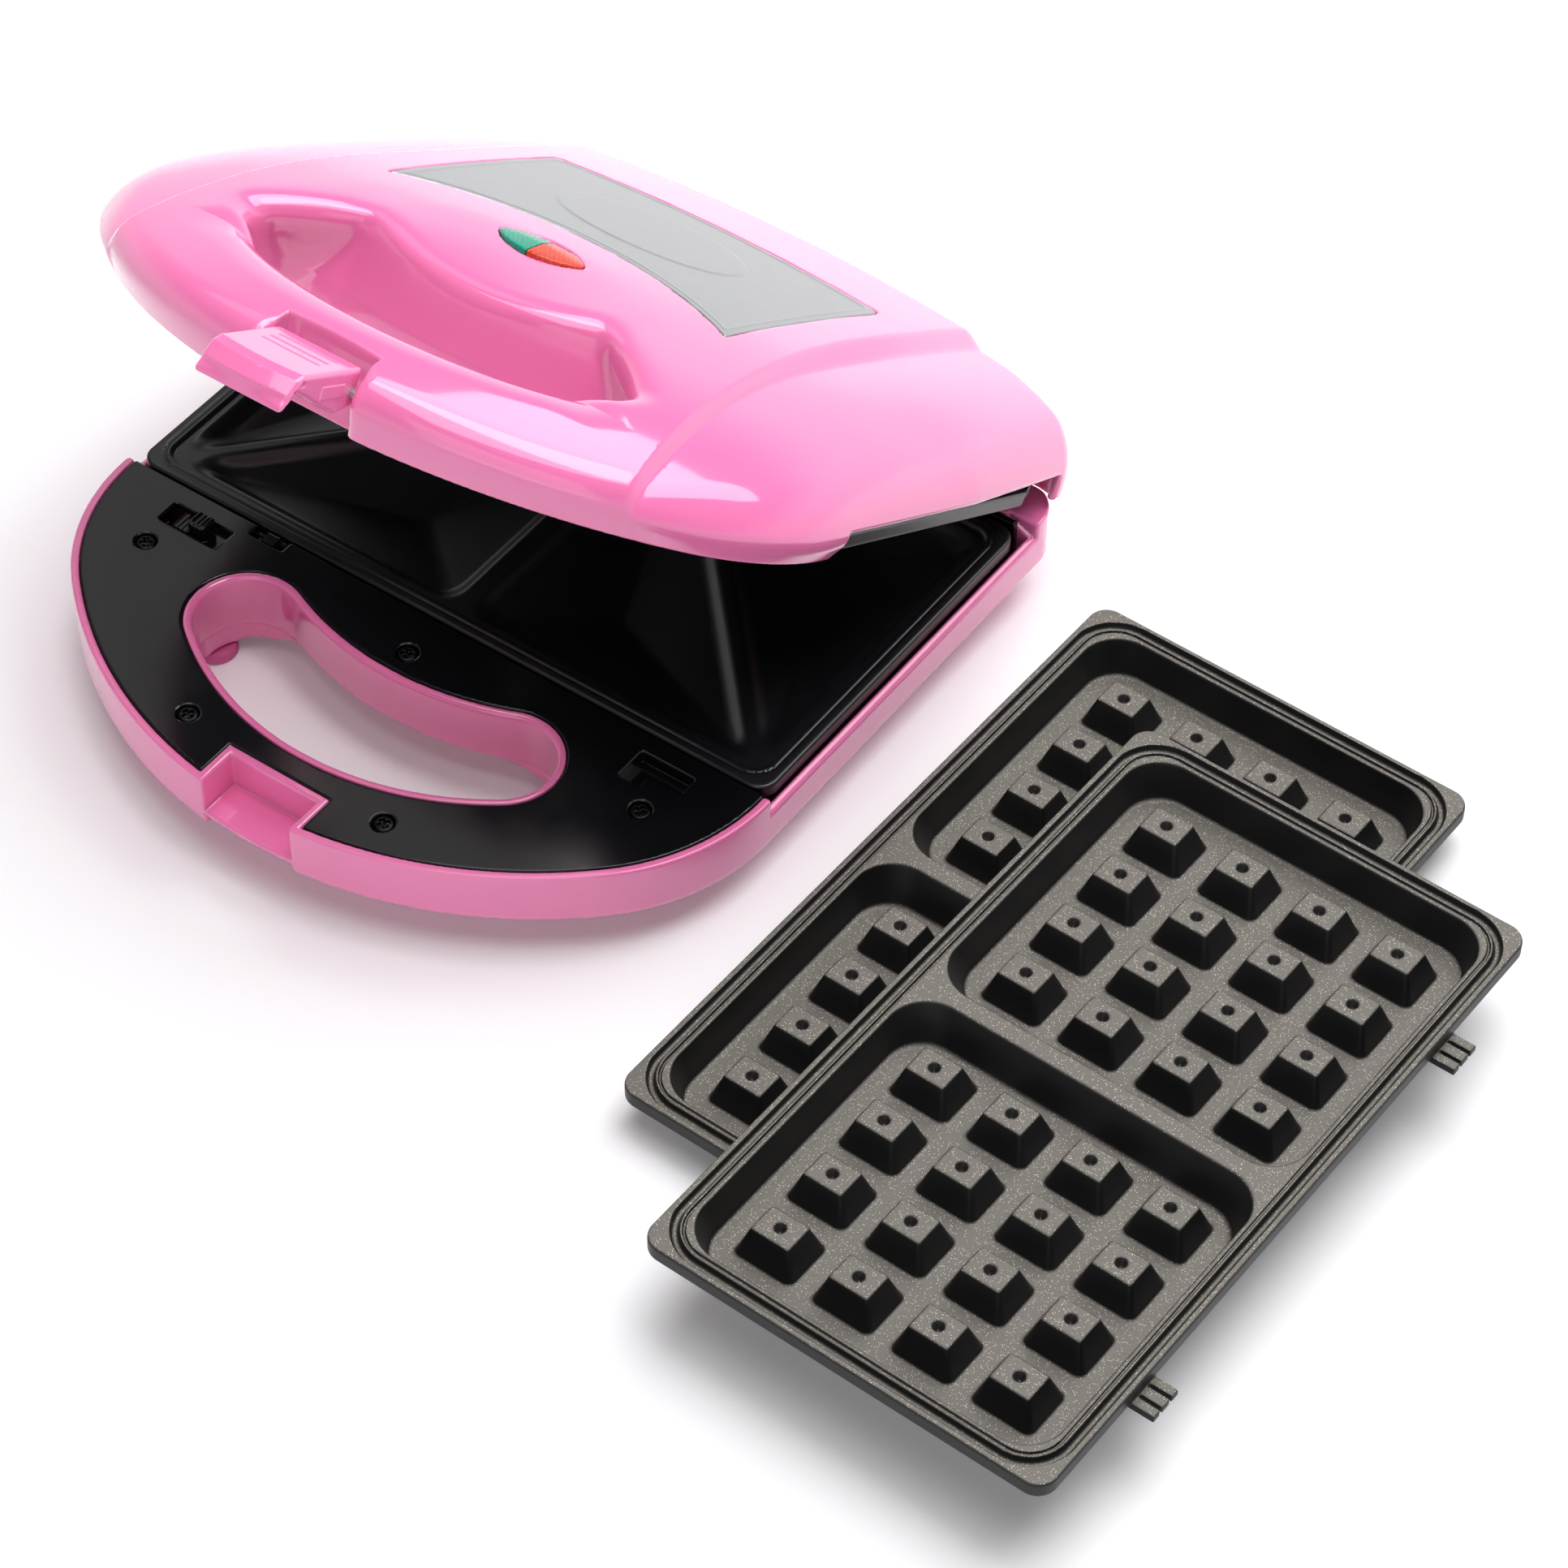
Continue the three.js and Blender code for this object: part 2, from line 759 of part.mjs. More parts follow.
// Trim panel with its plate frame, grip cut-out, screw seats and slider openings
function trimPanel() {
  const outline = bodyOutline(panel.edge, baseRear);
  const behind = block(-body.halfWidth, body.halfWidth, -panel.plateGap, lidRear, flangeBottom, PARTING_Z);
  const front = prism(outline, panelBottom, panel.top).subtract(behind);
  const wall = panel.frameWall;
  const half = panel.frameHalfWidth;
  const frameTop = flangeBottom - GAP;
  const rearTop = panel.top;
  const outer = block(-half, half, panel.frameFront, panel.frameRear + wall, frameBottom, frameTop)
    .add(block(-half, half, plate.width + wall, panel.frameRear + wall, frameBottom, rearTop));
  const inner = block(-half + wall, half - wall, panel.frameFront + wall, panel.frameRear - wall,
    frameBottom - OVERRUN, PARTING_Z);
  const web = block(-half, half, -wall, panel.frameFront + wall, frameTop - wall, frameTop);
  const riser = block(-half, half, -wall - GAP, -panel.plateGap, frameTop - wall, panelBottom + GAP);
  const pads = join(screwPlaces.map(({ x, y }) => (
    rodZ(x, y, panelBottom - panel.screwPadDepth, panelBottom + GAP, panel.screwPadRadius, 10)
  )));
  const seats = screwPlaces.flatMap(({ x, y }) => [
    rodZ(x, y, panel.top - screw.seatDepth, panel.top + OVERRUN, screw.seatRadius, 10),
    rodZ(x, y, panelBottom - screw.seatDepth - OVERRUN, panel.top + OVERRUN, screw.shankRadius + GAP, 6),
  ]);
  const tabSlots = [-1, 1].map((side) => block(
    side * tabX - plate.tabWidth / 2 - panel.slotGap,
    side * tabX + plate.tabWidth / 2 + panel.slotGap,
    plate.width, panel.frameRear + GAP + plate.tabReach,
    flangeBottom - plate.tabThickness * 2, panel.top + OVERRUN,
  ));
  const pocketLeft = -slotRight - slider.pocketMargin;
  const pocketRight = -slotLeft + slider.pocketMargin;
  const pocketFront = slider.slotFront - slider.pocketMargin;
  const pocketWall = panel.frameWall / 2;
  const cup = block(pocketLeft - pocketWall, pocketRight + pocketWall, pocketFront - pocketWall,
    slider.slotBack + pocketWall, panel.top - slider.pocketDepth - pocketWall, panel.top - GAP);
  const clipLeft = sliderClipX - slider.clipWidth / 2 - slider.travel - panel.slotGap;
  const clipRight = sliderClipX + slider.clipWidth / 2 + panel.slotGap;
  const slotBottom = panelBottom - OVERRUN;
  const clipBottom = flangeBottom - plate.tabThickness * 2;
  const openings = [
    block(slotLeft, slotRight, slider.slotFront, slider.slotBack, slotBottom, PARTING_Z),
    block(clipLeft, clipRight, slider.clipFront, plate.cornerRadius, clipBottom, PARTING_Z),
    block(pocketLeft, pocketRight, pocketFront, slider.slotBack, panel.top - slider.pocketDepth, PARTING_Z),
    prism(gripOutline(grip.lip + GAP), frameBottom, PARTING_Z),
    block(-notch.halfWidth - body.wall, notch.halfWidth + body.wall, body.front - OVERRUN,
      notch.backY + body.wall, slotBottom, PARTING_Z),
  ];
  const whole = join([front, outer.subtract(inner), web, riser, pads, cup]);
  return cutAll(whole, [...seats, ...tabSlots, ...openings]);
}

// Plate blank: flange on an inset pan, rear tabs and front clips
function plateBlank(top, depth, tabReach) {
  const half = plate.length / 2;
  const inset = plate.panInset;
  const flangeZ = top - plate.flangeHeight;
  const flange = prism(roundedRectangle(-half, half, 0, plate.width, plate.cornerRadius), flangeZ, top);
  const pan = prism(
    roundedRectangle(-half + inset, half - inset, inset, plate.width - inset, plate.cornerRadius),
    top - depth, flangeZ + GAP,
  );
  const tabs = [-1, 1].map((side) => block(
    side * tabX - plate.tabWidth / 2, side * tabX + plate.tabWidth / 2,
    plate.width - inset, plate.width + tabReach, flangeZ - plate.tabThickness + GAP, flangeZ + GAP,
  ));
  const clips = [-1, 1].map((side) => block(
    side * clipX - plate.clipWidth / 2, side * clipX + plate.clipWidth / 2,
    -plate.clipReach, inset, flangeZ, flangeZ + plate.clipThickness,
  ));
  return join([flange, pan, ...tabs, ...clips]);
}

// One triangular pocket between three corners
function trianglePocket(corners, top) {
  const outer = roundedPolygon(corners, 0, pocket.cornerRadius);
  const inner = roundedPolygon(corners, pocket.draft, pocket.cornerRadius - pocket.draft);
  const centre = corners.reduce((sum, corner) => sum.add(corner), new THREE.Vector2()).divideScalar(3);
  const rings = [
    ringAt(inner, top - pocket.wallDepth),
    ringAt(outer, top),
    ringAt(outer, top + OVERRUN),
  ];
  const apex = new THREE.Vector3(centre.x, centre.y, top - pocket.apexDepth);
  return loft(rings, apex, new THREE.Vector3(centre.x, centre.y, top + OVERRUN));
}

// Sandwich plate: two squares, each split by a diagonal ridge that runs to the back's middle
function sandwichPlate() {
  const half = plate.length / 2;
  const low = pocket.edge;
  const high = plate.width - pocket.edge;
  const inner = pocket.middle;
  const outer = half - pocket.edge;
  const ridge = pocket.ridge;
  const vector = (x, y) => new THREE.Vector2(x, y);
  const right = [
    [vector(inner, low), vector(outer - ridge, low), vector(inner, high - ridge)],
    [vector(outer, low + ridge), vector(outer, high), vector(inner + ridge, high)],
  ];
  const left = right.map((corners) => corners.map(({ x, y }) => vector(-x, y)).reverse());
  const recess = prism(
    roundedRectangle(-half + plate.cornerRadius, half - plate.cornerRadius,
      plate.cornerRadius, plate.width - plate.cornerRadius, plate.cornerRadius),
    plateTop - pocket.rimDrop, plateTop + OVERRUN,
  );
  const pockets = [...right, ...left].map((corners) => trianglePocket(corners, plateTop - pocket.rimDrop));
  return cutAll(plateBlank(plateTop, plate.depth, plate.tabReach), [recess, ...pockets]);
}

// Waffle plate on its own middle: two squares of pegs inside a double-ridged rim
function wafflePlate() {
  const half = plate.length / 2;
  const top = waffle.depth;
  const low = waffle.cavityInset;
  const high = plate.width - waffle.cavityInset;
  const outer = half - waffle.cavityInset;
  const cavity = (side) => {
    const x0 = side > 0 ? waffle.dividerHalfWidth : -outer;
    const x1 = side > 0 ? outer : -waffle.dividerHalfWidth;
    const draft = waffle.cavityDraft;
    const corner = waffle.cavityCorner;
    return stack([
      { outline: roundedRectangle(x0 + draft, x1 - draft, low + draft, high - draft, corner - draft),
        z: waffle.cavityFloor },
      { outline: roundedRectangle(x0, x1, low, high, corner), z: top },
      { outline: roundedRectangle(x0, x1, low, high, corner), z: top + OVERRUN },
    ]);
  };
  const grooveAt = (inset, width) => {
    const ring = (grow) => roundedRectangle(-half + inset + grow, half - inset - grow, inset + grow,
      plate.width - inset - grow, waffle.cavityCorner - inset - grow + waffle.ridgeInset);
    return prism(ring(0), top - waffle.grooveDepth, top + OVERRUN)
      .subtract(prism(ring(width), top - 2 * waffle.grooveDepth, top + 2 * OVERRUN));
  };
  const secondInset = waffle.ridgeInset + waffle.grooveWidth + waffle.ridgeWidth;
  const grooves = [waffle.ridgeInset, secondInset].map((inset) => grooveAt(inset, waffle.grooveWidth));
  const pegTop = top - waffle.pegDrop;
  const peg = (x, y) => {
    const rectangle = (grow) => [
      new THREE.Vector2(x - waffle.pegTopLong / 2 - grow, y - waffle.pegTopShort / 2 - grow),
      new THREE.Vector2(x + waffle.pegTopLong / 2 + grow, y - waffle.pegTopShort / 2 - grow),
      new THREE.Vector2(x + waffle.pegTopLong / 2 + grow, y + waffle.pegTopShort / 2 + grow),
      new THREE.Vector2(x - waffle.pegTopLong / 2 - grow, y + waffle.pegTopShort / 2 + grow),
    ];
    return stack([
      { outline: rectangle(waffle.pegSlope), z: waffle.cavityFloor - GAP },
      { outline: rectangle(0), z: pegTop },
    ]);
  };
  const pegs = [];
  for (let row = 0; row < waffle.rows; row += 1) {
    const y = plate.width / 2 + (row - (waffle.rows - 1) / 2) * wafflePitchShort;
    for (let column = 0; column < waffle.rows; column += 1) {
      const x = waffleFirst + column * wafflePitchLong;
      pegs.push(peg(x, y), peg(-x, y));
    }
  }
  const tabSlots = [-1, 1].flatMap((side) => [-1, 1].map((place) => {
    const x = side * tabX + place * waffle.tabSlotPitch / 2;
    return block(x - waffle.tabSlotWidth / 2, x + waffle.tabSlotWidth / 2, plate.width + GAP,
      plate.width + 2 * waffle.tabReach, 0, top);
  }));
  const blank = cutAll(plateBlank(top, waffle.depth, waffle.tabReach), [
    cavity(1), cavity(-1), ...grooves, ...tabSlots,
  ]);
  return join([blank, ...pegs]).translate([0, -plate.width / 2, 0]);
}

// Path of straight runs with rounded turns
function roundedPath(points, radius) {
  const path = new THREE.CurvePath();
  let start = points[0];
  for (let i = 1; i < points.length - 1; i += 1) {
    const corner = points[i];
    const into = corner.clone().addScaledVector(points[i - 1].clone().sub(corner).normalize(), radius);
    const out = corner.clone().addScaledVector(points[i + 1].clone().sub(corner).normalize(), radius);
    path.add(new THREE.LineCurve3(start, into));
    path.add(new THREE.QuadraticBezierCurve3(into, corner, out));
    start = out;
  }
  path.add(new THREE.LineCurve3(start, points.at(-1)));
  return path;
}

function tubeAlong(path, radius, sides, steps) {
  const section = new THREE.Shape(arc(0, 0, radius, 0, 2 * Math.PI, sides).slice(0, -1));
  return toSolid(new THREE.ExtrudeGeometry(section, { extrudePath: path, steps, bevelEnabled: false }));
}

// Sheathed heating tube: one flat loop with both leads at the back
function heaterTube() {
  const z = heat.reflectorZ + heat.reflectorSheet + GAP + heat.tubeRadius;
  const spot = (x, y) => new THREE.Vector3(x, y, z);
  const path = roundedPath([
    spot(-heat.leadSpread, heat.leadEnd),
    spot(-heat.leadSpread, heat.loopRear),
    spot(-heat.loopHalfWidth, heat.loopRear),
    spot(-heat.loopHalfWidth, heat.loopFront),
    spot(heat.loopHalfWidth, heat.loopFront),
    spot(heat.loopHalfWidth, heat.loopRear),
    spot(heat.leadSpread, heat.loopRear),
    spot(heat.leadSpread, heat.leadEnd),
  ], heat.loopCorner / 2);
  return tubeAlong(path, heat.tubeRadius, 6, 48);
}

// Folded sheet tray under the heating tube
function reflectorTray() {
  const half = heat.reflectorHalfWidth;
  const sheet = heat.reflectorSheet;
  const z = heat.reflectorZ;
  return block(-half, half, heat.reflectorFront, heat.reflectorRear, z, z + heat.reflectorLip)
    .subtract(block(-half + sheet, half - sheet, heat.reflectorFront + sheet, heat.reflectorRear - sheet,
      z + sheet, z + heat.reflectorLip + OVERRUN));
}

// Disc thermostat that presses on the plate
function thermostat() {
  const z = heat.reflectorZ + heat.reflectorSheet + GAP;
  const bodyPart = rodZ(heat.statX, heat.statY, z, z + heat.statHeight, heat.statRadius);
  const cap = rodZ(heat.statX, heat.statY, z, z + heat.statHeight + heat.statCapHeight, heat.statCapRadius);
  return bodyPart.add(cap);
}

// Release slider: ribbed knob through the slot, bar under the panel, clip over the plate's flange
function releaseSlider() {
  const barTop = panelBottom - GAP;
  const barBottom = barTop - slider.barThickness;
  const knobFront = (slider.slotFront + slider.slotBack - slider.knobDepth) / 2;
  const knobTop = panel.top + slider.knobRise;
  const knobLeft = knobX - slider.knobWidth / 2;
  const knobRight = knobLeft + slider.knobWidth;
  const knobBack = knobFront + slider.knobDepth;
  const knob = block(knobLeft, knobRight, knobFront, knobBack, barBottom, knobTop);
  const pitch = slider.knobWidth / slider.ribs;
  const ribs = Array.from({ length: slider.ribs }, (_, i) => {
    const x = knobLeft + pitch * (i + 0.5);
    return block(x - slider.ribWidth / 2, x + slider.ribWidth / 2, knobFront - OVERRUN,
      knobBack + OVERRUN, knobTop - slider.ribDepth, knobTop + OVERRUN);
  });
  const barRight = sliderClipX + slider.clipWidth / 2;
  const bar = block(knobLeft - slider.travel, barRight, knobFront, knobBack, barBottom, barTop);
  const armLeft = barRight - slider.clipWidth;
  const armBack = -plate.clipReach - 2 * GAP;
  const arm = block(armLeft, barRight, knobFront, armBack, barBottom, barTop);
  const post = block(armLeft, barRight, slider.clipFront + GAP, armBack, barBottom, plateTop - GAP);
  return cutAll(join([knob, bar, arm, post]), ribs);
}

// Return spring between the slider's bar and its stop
function returnSpring() {
  const z = panelBottom - GAP - slider.springRadius;
  const y = (slider.slotFront + slider.slotBack) / 2;
  const end = knobX - slider.knobWidth / 2 - 2 * slider.travel - GAP;
  const start = stopX + GAP;
  const radius = slider.springRadius - slider.springWire;
  class Coil extends THREE.Curve {
    getPoint(t) {
      const angle = 2 * Math.PI * slider.springTurns * t;
      const inner = slider.springWire + (end - start - 2 * slider.springWire) * t;
      return new THREE.Vector3(start + inner, y + radius * Math.cos(angle), z + radius * Math.sin(angle));
    }
  }
  return tubeAlong(new Coil(), slider.springWire, 4, slider.springTurns * 8);
}

// Pieces that base and lid have in common, in the base's place
function innards(prefix) {
  const named = (name) => `${prefix}_${name}`;
  const screws = screwPlaces.map(({ x, y }, i) => (
    toMesh(named(`screw_${i + 1}`), panelScrew(x, y, panel.top - GAP / 2), screwSteel)
  ));
  return [
    toMesh(named('trim_panel'), trimPanel(), blackPlastic),
    toMesh(named('sandwich_plate'), sandwichPlate(), blackCoating),
    toMesh(named('heater'), heaterTube(), heaterSteel),
    toMesh(named('reflector'), reflectorTray(), steel),
    toMesh(named('thermostat'), thermostat(), ceramic),
    toMesh(named('release_slider'), releaseSlider(), blackPlastic),
    toMesh(named('slider_spring'), returnSpring(), screwSteel),
    ...screws,
  ];
}

// Bosses and stays that stand on a floor or hang from a roof, before they are trimmed to the shell
function mountings(reach) {
  const bossTop = panelBottom - panel.screwPadDepth - GAP;
  const bosses = screwPlaces.map(({ x, y }) => (
    rodZ(x, y, reach, bossTop, screw.bossRadius, 8)
      .subtract(rodZ(x, y, bossTop - screw.shankLength, bossTop + OVERRUN, screw.shankRadius + GAP, 6))
  ));
  const stays = [-heat.stayX, heat.stayX].flatMap((x) => [heat.stayFront, heat.stayRear].map((y) => (
    rodZ(x, y, reach, heat.reflectorZ - GAP, heat.stayRadius, 6)
  )));
  const stop = block(stopX - body.wall, stopX, slider.slotFront + GAP, slider.slotBack - GAP,
    reach, panelBottom - GAP);
  return join([...bosses, ...stays, stop]);
}

// Base shell
function lowerHousing() {
  const outline = bodyOutline(0, baseRear);
  const drawnIn = bodyOutline(base.bandDraft, baseRear);
  const bottom = base.handleBandBottom;
  const wall = body.wall;
  const band = stack([
    { outline: drawnIn, z: bottom },
    { outline, z: bottom + base.bandDraftHeight },
    { outline, z: baseRim },
  ]);
  const panOutline = (inset) => roundedRectangle(-base.panHalfWidth + inset, base.panHalfWidth - inset,
    base.panFront + inset, base.panRear - inset, base.panCorner - inset);
  const pan = stack([
    { outline: panOutline(base.panDraft), z: base.floorZ },
    { outline: panOutline(0), z: bottom + GAP },
  ]);
  const legs = [-1, 1].map((side) => (
    rodZ(side * footFrontX, foot.frontY, base.floorZ, bottom + GAP, foot.legRadius)
  ));
  const inside = bodyOutline(wall, baseRear);
  const half = body.halfWidth;
  const bandCavity = prism(inside, bandFloorTop, baseRim + OVERRUN)
    .subtract(block(-half, half, base.cavityRear, lidRear, bottom - OVERRUN, baseRim + 2 * OVERRUN));
  const panCavity = stack([
    { outline: panOutline(base.panDraft + wall), z: base.floorZ + base.floor },
    { outline: panOutline(wall), z: bandFloorTop + GAP },
  ]);
  const shell = cutAll(join([band, pan, ...legs]), [bandCavity, panCavity]);
  const tube = prism(gripOutline(grip.lip), bottom, baseRim);
  const skirt = prism(gripOutline(grip.lip), grip.skirtBottom, bottom + GAP)
    .subtract(block(-half, half, body.front, grip.capY, grip.skirtBottom - OVERRUN, PARTING_Z))
    .subtract(archCut());
  const notchWall = block(-notch.halfWidth - wall, notch.halfWidth + wall, body.front, notch.backY + wall,
    bottom, baseRim).intersect(prism(inside, bottom, baseRim));
  const fittings = mountings(base.floorZ).intersect(join([band, pan]));
  const rearBlock = block(-body.halfWidth, body.halfWidth, hinge.y, lidRear, 0, lid.top)
    .subtract(rodX(-body.halfWidth, body.halfWidth, hinge.y, hinge.z, hinge.barrelRadius, 24));
  const slotHalf = hinge.armWidth / 2 + GAP;
  const armSlots = [-1, 1].map((side) => block(
    side * hingeX - slotHalf, side * hingeX + slotHalf,
    hinge.y - hinge.armRadius - panel.slotGap, lidRear, 0, PARTING_Z,
  ));
  const pinBores = [-1, 1].map((side) => rodX(
    side * hingeX - hinge.pinLength / 2 - GAP, side * hingeX + hinge.pinLength / 2 + GAP,
    hinge.y, hinge.z, hinge.pinRadius + GAP, 12,
  ));
  const coreHalf = hingeX - hinge.pinLength / 2 - body.wall;
  const core = block(-coreHalf, coreHalf, base.cavityRear + wall, hinge.y, 0, baseRim - base.floor)
    .subtract(pan);
  const sideCuts = sideBlocks(plate.length / 2 - plate.panInset, body.halfWidth + OVERRUN,
    base.sideCutFront, base.sideCutRear, base.sideCutTop, PARTING_Z);
  const spigotHoles = footPlaces().map(({ x, y }) => (
    rodZ(x, y, base.floorZ - OVERRUN, base.floorZ + base.floor + OVERRUN, foot.spigotRadius + GAP, 10)
  ));
  const inlet = rodY(gland.x, base.panRear - base.panDraft - 2 * wall, base.panRear + OVERRUN, gland.z,
    gland.radius + GAP);
  const notchBlock = (z0, z1) => (
    block(-notch.halfWidth, notch.halfWidth, body.front - OVERRUN, notch.backY, z0, z1)
  );
  const notchCut = notchBlock(notch.floorTop, PARTING_Z).add(notchBlock(0, notch.floorBottom));
  const gripCut = prism(gripOutline(0), 0, PARTING_Z);
  return cutAll(join([shell, tube, skirt, notchWall, fittings]), [
    rearBlock, ...armSlots, ...pinBores, core, sideCuts, ...spigotHoles, inlet, notchCut, gripCut,
  ]);
}

// Arch that lifts the skirt's lower edge in the middle
function archCut() {
  const rise = grip.archTop - grip.skirtBottom;
  const radius = (grip.archHalfSpan ** 2 + rise ** 2) / (2 * rise);
  return rodY(0, body.front, hinge.y, grip.archTop - radius, radius, 4 * ROUND_SIDES);
}

function footPlaces() {
  return [
    { name: 'foot_front_left', x: -footFrontX, y: foot.frontY },
    { name: 'foot_front_right', x: footFrontX, y: foot.frontY },
    { name: 'foot_rear_left', x: -footRearX, y: footRearY },
    { name: 'foot_rear_right', x: footRearX, y: footRearY },
  ];
}

// Rubber foot with a spigot in the base's floor
function rubberFoot(x, y) {
  const top = foot.height - GAP / 2;
  return turned([
    [0, 0],
    [foot.radius - foot.edge, 0],
    [foot.radius, foot.edge],
    [foot.radius, top],
    [foot.spigotRadius, top],
    [foot.spigotRadius, top + foot.spigotHeight],
    [0, top + foot.spigotHeight],
  ], x, y, 0);
}

// Cord inlet bush in the base's back wall
function cordGland() {
  const wallFace = base.panRear;
  const inner = wallFace - gland.innerLength;
  const outer = wallFace + gland.flangeDepth;
  const sleeve = rodY(gland.x, inner, outer, gland.z, gland.radius);
  const flange = rodY(gland.x, wallFace + GAP, outer, gland.z, gland.flangeRadius);
  const bore = rodY(gland.x, inner - OVERRUN, outer + OVERRUN, gland.z, gland.boreRadius, 12);
  return sleeve.add(flange).subtract(bore);
}

// Ceramic block that takes the heater's leads
function terminalBlock() {
  const z = heat.reflectorZ + heat.reflectorSheet + GAP;
  const half = heat.blockHalfWidth;
  const back = heat.reflectorRear - 2 * heat.reflectorSheet;
  const front = back - heat.blockDepth;
  const holes = [-1, 0, 1].map((place) => rodY(place * heat.blockHolePitch, front - OVERRUN, back + OVERRUN,
    z + heat.blockHeight / 2, heat.blockHoleRadius, 8));
  return cutAll(block(-half, half, front, back, z, z + heat.blockHeight), holes);
}

function thermalFuse() {
  const z = heat.reflectorZ + heat.reflectorSheet + GAP + heat.fuseRadius;
  return rodX(-heat.fuseLength / 2, heat.fuseLength / 2, heat.fuseY, z, heat.fuseRadius, 10);
}

// Base with everything that stays on the table
function baseGroup() {
  const group = new THREE.Group();
  group.add(toMesh('lower_housing', lowerHousing(), pinkPlastic), ...innards('lower'));
  group.add(toMesh('terminal_block', terminalBlock(), ceramic));
  group.add(toMesh('thermal_fuse', thermalFuse(), ceramic));
  group.add(toMesh('cord_gland', cordGland(), blackPlastic));
  footPlaces().forEach(({ name, x, y }) => group.add(toMesh(name, rubberFoot(x, y), rubber)));
  [['left', -1], ['right', 1]].forEach(([side, sign]) => {
    const left = sign * hingeX - hinge.pinLength / 2;
    const pin = rodX(left, left + hinge.pinLength, hinge.y, hinge.z, hinge.pinRadius, 12);
    group.add(toMesh(`hinge_pin_${side}`, pin, steel));
  });
  return group;
}

// Latch side view: closed outline as [y, z] pairs, drawn in by a wall where it is hollow
function latchProfile(inset) {
  return [
    [latch.backY, latch.topZ - inset],
    [latch.bendY, latch.topZ - inset],
    [latch.noseY + inset / 2, latch.noseZ - inset],
    [latch.tipY + inset, latch.tipZ - inset / 2],
    [latch.tipY + inset, latch.hookBottomZ - inset * 2],
    [latch.hookBackY + inset, latch.hookBackZ - inset * 2],
    [latch.throatY + inset, latch.throatZ - inset],
    [latch.heelY, latch.heelZ - inset * 2],
    [latch.backY, latch.rearZ - inset],
  ];
}

function latchPiece() {
  const half = latch.halfWidth;
  const solid = prismAlongX(latchProfile(0), -half, half);
  const innerHalf = half - latch.wall;
  const hollow = prismAlongX([
    [latch.backY + OVERRUN, latch.topZ - latch.wall],
    [latch.bendY, latch.topZ - latch.wall],
    [latch.throatY + latch.wall / 2, latch.throatZ],
    [latch.throatY + latch.wall, latch.heelZ - OVERRUN],
    [latch.backY + OVERRUN, latch.heelZ - OVERRUN],
  ], -innerHalf, innerHalf);
  const boreRadius = latch.pinRadius + GAP;
  const bore = rodX(-half - OVERRUN, half + OVERRUN, latch.pivotY, latch.pivotZ, boreRadius, 10);
  const grooves = Array.from({ length: latch.grooves }, (_, i) => {
    const y = latch.backY - latch.grooveFirst - i * latch.groovePitch;
    return block(-latch.grooveHalfLength, latch.grooveHalfLength, y - latch.grooveWidth, y,
      latch.topZ - latch.grooveDepth, latch.topZ + OVERRUN);
  });
  return cutAll(solid, [hollow, bore, ...grooves]);
}

// Seats in the lid's roof for badge, lens and lamps
function roofAt(y) {
  return crownHeight(0, y);
}

function badgePlate() {
  const skin = lidForm(crownHeight, 0, 0).subtract(lidForm(crownHeight, 0, badge.thickness));
  const drop = badge.seatDepth - badge.thickness - GAP;
  const column = prism(badgeOutline(0), lidRim + body.wall, lid.top + OVERRUN);
  return skin.intersect(column).translate([0, 0, -drop]);
}

function lensHalf(side) {
  const roof = roofAt(lens.y);
  const whole = prism(lensOutline(0), roof - lens.depth, roof + lens.rise);
  const keep = side < 0 ? [-lens.halfWidth - OVERRUN, -GAP / 2] : [GAP / 2, lens.halfWidth + OVERRUN];
  return whole.intersect(block(keep[0], keep[1], body.front, hinge.y, 0, lid.top + 2 * OVERRUN));
}

function lampBoard() {
  const roof = roofAt(lens.y);
  const top = roof - lens.depth - lamp.drop;
  const y = lens.y + lamp.length / 2;
  return block(-lamp.boardHalfWidth, lamp.boardHalfWidth, y - lamp.boardDepth / 2, y + lamp.boardDepth / 2,
    top - lamp.boardThickness, top);
}

function neonLamp(side) {
  const roof = roofAt(lens.y);
  const top = roof - lens.depth - GAP;
  const bottom = roof - lens.depth - lamp.drop + GAP;
  const x = side * lamp.offsetX;
  const glass = rodZ(x, lens.y, bottom, top - lamp.radius, lamp.radius, 10);
  const tip = rodZ(x, lens.y, bottom, top, lamp.tipRadius, 10);
  return glass.add(tip);
}

